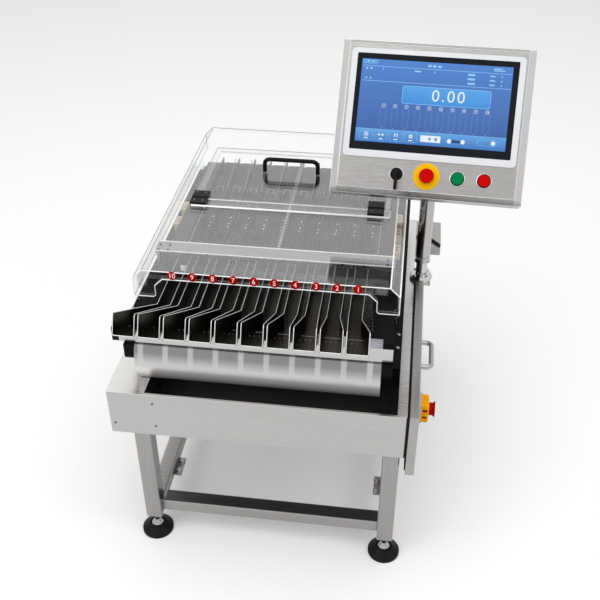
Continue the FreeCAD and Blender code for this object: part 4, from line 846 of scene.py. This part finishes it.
def on_panel(u, w, out=0.0):
    """Frame at a place on the display, in millimetres right of, above and out of its centre."""
    return PANEL @ Matrix.Translation((u * MM, w * MM, out * MM))


def page_shapes(name, shapes, out, mat):
    """Thin flat shapes on the page: (u, w, wide, high, corner radius) each."""
    plates(name, [(rounded(wide, high, radius), on_panel(u, w), out - 0.15, out)
                  for u, w, wide, high, radius in shapes], mat, bevel=0)


def page_frames(name, shapes, out, thick, mat):
    """Thin outlines on the page: (u, w, wide, high, corner radius) each."""
    paths = []
    for u, w, wide, high, radius in shapes:
        where = on_panel(u, w, out)
        paths.append([(where @ Vector((x * MM, y * MM, 0)),)
                      for x, y in rounded(wide, high, radius)])
    wires(name, paths, thick, mat, closed=True)


def page_lines(name, lines, out, thick, mat):
    """Thin straight lines on the page, each between two (u, w) places."""
    wires(name, [[(on_panel(u, w, out).translation,) for u, w in line] for line in lines],
          thick, mat)


TUBES = [-112.7 + 26.35 * i for i in range(10)]
TILES = [(-147.2, -80.5), (-112.8, -80.8), (-78.0, -80.2), (-43.8, -79.9)]

page_shapes("page_panel", [(0, -0.3, 345, 191.5, 0.6)], GLASS + 0.2, PAGE)
page_shapes("page_bar", [(0, -81, 345, 30, 0.4)], GLASS + 0.35, PAGE_BAR)
page_shapes("page_box", [(28, 17.6, 201, 40, 4)], GLASS + 0.35, PAGE_BOX)
page_frames("page_box_rim", [(28, 17.6, 201, 40, 4)], GLASS + 0.35, 0.6, PAGE_LINE)
page_lines("page_lines", [[(-170.5, 79.4), (170.0, 79.0)], [(-168.0, 45.2), (171.0, 45.4)],
                          [(-172.0, -66.0), (172.0, -66.0)]], GLASS + 0.3, 0.5, PAGE_LINE)
page_shapes("page_tiles", [(u, w, 29, 22, 2) for u, w in TILES] + [(-153, 89, 36, 11, 1)],
            GLASS + 0.5, PAGE_BAR)
page_frames("page_tile_rims", [(u, w, 29, 22, 2) for u, w in TILES], GLASS + 0.5, 0.35, PAGE_LINE)
page_shapes("page_field", [(1.8, -80.2, 46, 15, 0.6), (-147, 90, 5, 2.2, 0.6),
                           (-158, 90, 5, 2.2, 0.6)], GLASS + 0.5, PAGE_WHITE)
page_shapes("page_field_mark", [(14, -80.4, 6, 7, 0.8), (0, -80.4, 5, 7, 1.5)], GLASS + 0.65,
            PAGE_FAINT)
page_shapes("page_slot", [(60, -82, 24, 6, 1)], GLASS + 0.5, PAGE_DARK)
page_shapes("page_dots", [(44.8, -82.1, 10, 10, 4.9), (75.5, -81.9, 10, 10, 4.9),
                          (144.1, -79.8, 10, 10, 4.9)], GLASS + 0.7, PAGE_WHITE)
page_frames("page_toggle", [(131.7, -79.7, 49, 13, 6.3)], GLASS + 0.45, 0.4, PAGE_LINE)
page_shapes("page_marks",
            [(-16, 86.8, 8, 5, 1), (-5, 86.6, 8, 5, 1), (7, 86.4, 8, 5, 1),
             (80, 72.5, 17, 4.4, 1), (80.5, 62.4, 17, 4.4, 1), (81, 52.4, 17, 4.4, 1),
             (-42, 72.7, 15, 3.6, 1), (-150, 73.7, 5, 4.5, 1), (-160, 73.7, 5, 4.5, 1),
             (-150, 51.6, 4, 4, 1), (-160, 51.6, 4, 4, 1), (139, 89.6, 20, 2.4, 0.8),
             (142, 85.4, 26, 2.4, 0.8)], GLASS + 0.4, PAGE_LINE)
page_shapes("page_values",
            [(128, 72.2, 12, 3.2, 0.8), (128, 62.0, 12, 3.2, 0.8), (128, 52.0, 12, 3.2, 0.8),
             (149, 71.8, 3, 3.6, 0.8), (149, 61.6, 3, 3.6, 0.8), (149, 51.6, 3, 3.6, 0.8),
             (-3, 72.4, 2, 4.5, 0.5), (-122, 74, 2.4, 4.2, 0.5)]
            + [(u + 0.3, -62.5, 2.2, 2.2, 1.0) for u in TUBES], GLASS + 0.4, PAGE_LINE)
page_lines("page_tubes",
           [line for u in TUBES for line in
            ([(u - 6.2, -15.5), (u - 6.2, -55), (u - 3.6, -59.5)],
             [(u + 6.2, -15.5), (u + 6.2, -55), (u + 3.6, -59.5)])],
           GLASS + 0.2, 0.32, PAGE_FAINT)
page_frames("page_rings", [(u, -10.5, 8.2, 8.2, 4.05) for u in TUBES], GLASS + 0.3, 0.4, PAGE_WHITE)
for lane, u in enumerate(TUBES, start=1):
    words("page_lane_%d" % lane, str(lane), 4.4, on_panel(u, -10.5, GLASS + 0.3), PAGE_WHITE,
          thick=0.1)
words("page_weight", "0.00", 27.5, on_panel(33, 18.0, GLASS + 0.5), PAGE_WHITE,
      thick=0.1, width=1.2)
ICONS = []
u, w = TILES[0]
ICONS += [(u, w + 6, 10, 1.6, 0.5), (u, w + 2.5, 10, 1.6, 0.5), (u, w - 1, 10, 1.6, 0.5)]
u, w = TILES[1]
ICONS += [(u - 4.5, w + 2.5, 4.5, 4.5, 2), (u + 4.5, w + 2.5, 4.5, 4.5, 2), (u, w + 2.5, 3, 1.4, 0.5)]
u, w = TILES[2]
ICONS += [(u - 3, w + 2.5, 1.8, 8, 0.6), (u + 3, w + 2.5, 1.8, 8, 0.6), (u, w + 5, 6, 1.4, 0.5)]
u, w = TILES[3]
ICONS += [(u, w + 2.5, 8.5, 8.5, 3.8)]
ICONS += [(u, w - 7, 9, 2.2, 0.6) for u, w in TILES]
page_shapes("page_icons", ICONS, GLASS + 0.65, PAGE_WHITE)
page_shapes("page_icon_eye", [(TILES[3][0], TILES[3][1] + 2.5, 3, 3, 1.4)], GLASS + 0.8, PAGE_DARK)

# Painted highlights: bright beads along the folded edges round the front of the screen box

BOX_MIDDLE = -35.8
BOX_HALF_WIDE = 445.3 / 2
BOX_HALF_HIGH = 358.6 / 2
FOLD_IN = 18.0
FOLD_DOWN = 12.0
FOLD_DEEP = -20.0
box_edges = []
for half_wide, half_high, out in ((BOX_HALF_WIDE - FOLD_IN, BOX_HALF_HIGH - FOLD_DOWN, 0.0),
                                  (BOX_HALF_WIDE, BOX_HALF_HIGH, FOLD_DEEP)):
    box_edges.append([(on_panel(u * half_wide, BOX_MIDDLE + w * half_high, out).translation,)
                      for u, w in ((-1, -1), (1, -1), (1, 1), (-1, 1))])
wires("box_fold_highlights", box_edges, 0.7, EDGE_METAL, closed=True)

# Thin bright rings where the controls meet the screen box

CONTROL_LINE = -166.5
for name, side, radius in (("key_rim", -67.4, 15.2), ("start_rim", 72.2, 16.5),
                           ("halt_rim", 132.8, 16.5)):
    turned(name, [(radius - 0.5, -0.1), (radius + 1.0, -0.1), (radius + 0.9, 0.7),
                  (radius - 0.2, 1.1), (radius - 0.5, 0.9)],
           [on_panel(side, CONTROL_LINE)], EDGE_METAL, around=40)

# Camera

CAMERA_PLACE = (300.73, -1444.17, 1836.77)
CAMERA_TURN = (54.3298, 0.1162, 7.5662)
FOCAL_PIXELS = 874.717
PICTURE_PIXELS = 600

camera_data = bpy.data.cameras.new("camera")
camera = bpy.data.objects.new("camera", camera_data)
bpy.context.scene.collection.objects.link(camera)
camera.location = spot(*CAMERA_PLACE)
camera.rotation_euler = Euler([math.radians(a) for a in CAMERA_TURN])
camera_data.sensor_width = 36.0
camera_data.lens = FOCAL_PIXELS * camera_data.sensor_width / PICTURE_PIXELS
camera_data.clip_end = 100
bpy.context.scene.camera = camera

# Floor, world and lights


def any_ray(tree, *names):
    """1 for the named kinds of ray and 0 for the others."""
    path = tree.nodes.new("ShaderNodeLightPath")
    total = path.outputs[names[0]]
    for name in names[1:]:
        total = sums(tree, "MAXIMUM", total, path.outputs[name])
    return total


SEEN_BY = ("Is Camera Ray", "Is Glossy Ray", "Is Transmission Ray")
FLOOR_COLOUR = 0.90
FLOOR_GLOW = 0.15
SKY_LIGHT = 0.62


def floor_material():
    mat, tree, bsdf = new_material("floor")
    tree.nodes.remove(bsdf)
    out = tree.nodes["Material Output"]
    diffuse = tree.nodes.new("ShaderNodeBsdfDiffuse")
    diffuse.inputs[0].default_value = (FLOOR_COLOUR, FLOOR_COLOUR, FLOOR_COLOUR, 1)
    glow = tree.nodes.new("ShaderNodeEmission")
    level = sums(tree, "MULTIPLY", any_ray(tree, *SEEN_BY), FLOOR_GLOW)
    tree.links.new(level, glow.inputs["Strength"])
    both = tree.nodes.new("ShaderNodeAddShader")
    tree.links.new(diffuse.outputs[0], both.inputs[0])
    tree.links.new(glow.outputs[0], both.inputs[1])
    tree.links.new(both.outputs[0], out.inputs[0])
    return mat


FLOOR_RADIUS = 30
bpy.ops.mesh.primitive_circle_add(vertices=64, radius=FLOOR_RADIUS, fill_type="NGON",
                                  location=(0, 0, 0))
floor = bpy.context.object
floor.name = "floor"
floor.data.materials.append(floor_material())

world = bpy.data.worlds.new("world")
bpy.context.scene.world = world
world.use_nodes = True
sky = world.node_tree.nodes["Background"]
sky.inputs["Color"].default_value = (1, 1, 1, 1)
sky_level = spread(world.node_tree, any_ray(world.node_tree, *SEEN_BY), SKY_LIGHT, 1.0,
                   0.0, 1.0)
world.node_tree.links.new(sky_level, sky.inputs["Strength"])

# Each lamp's name, place, diameter in metres and power in watts
LAMPS = [("key", (-1900, -1700, 3300), 2.2, 24), ("side", (2600, -600, 2600), 1.6, 10),
         ("overhead", (0, 250, 4300), 4.4, 66)]
LAMP_AIM = spot(0, 400, 500)
for name, place, size, power in LAMPS:
    data = bpy.data.lights.new(name, "AREA")
    data.shape = "DISK"
    data.size = size
    data.energy = power
    lamp = bpy.data.objects.new(name, data)
    bpy.context.scene.collection.objects.link(lamp)
    lamp.location = spot(*place)
    lamp.rotation_mode = "QUATERNION"
    lamp.rotation_quaternion = (LAMP_AIM - lamp.location).to_track_quat("-Z", "Y")

bpy.context.scene.view_settings.view_transform = "Standard"
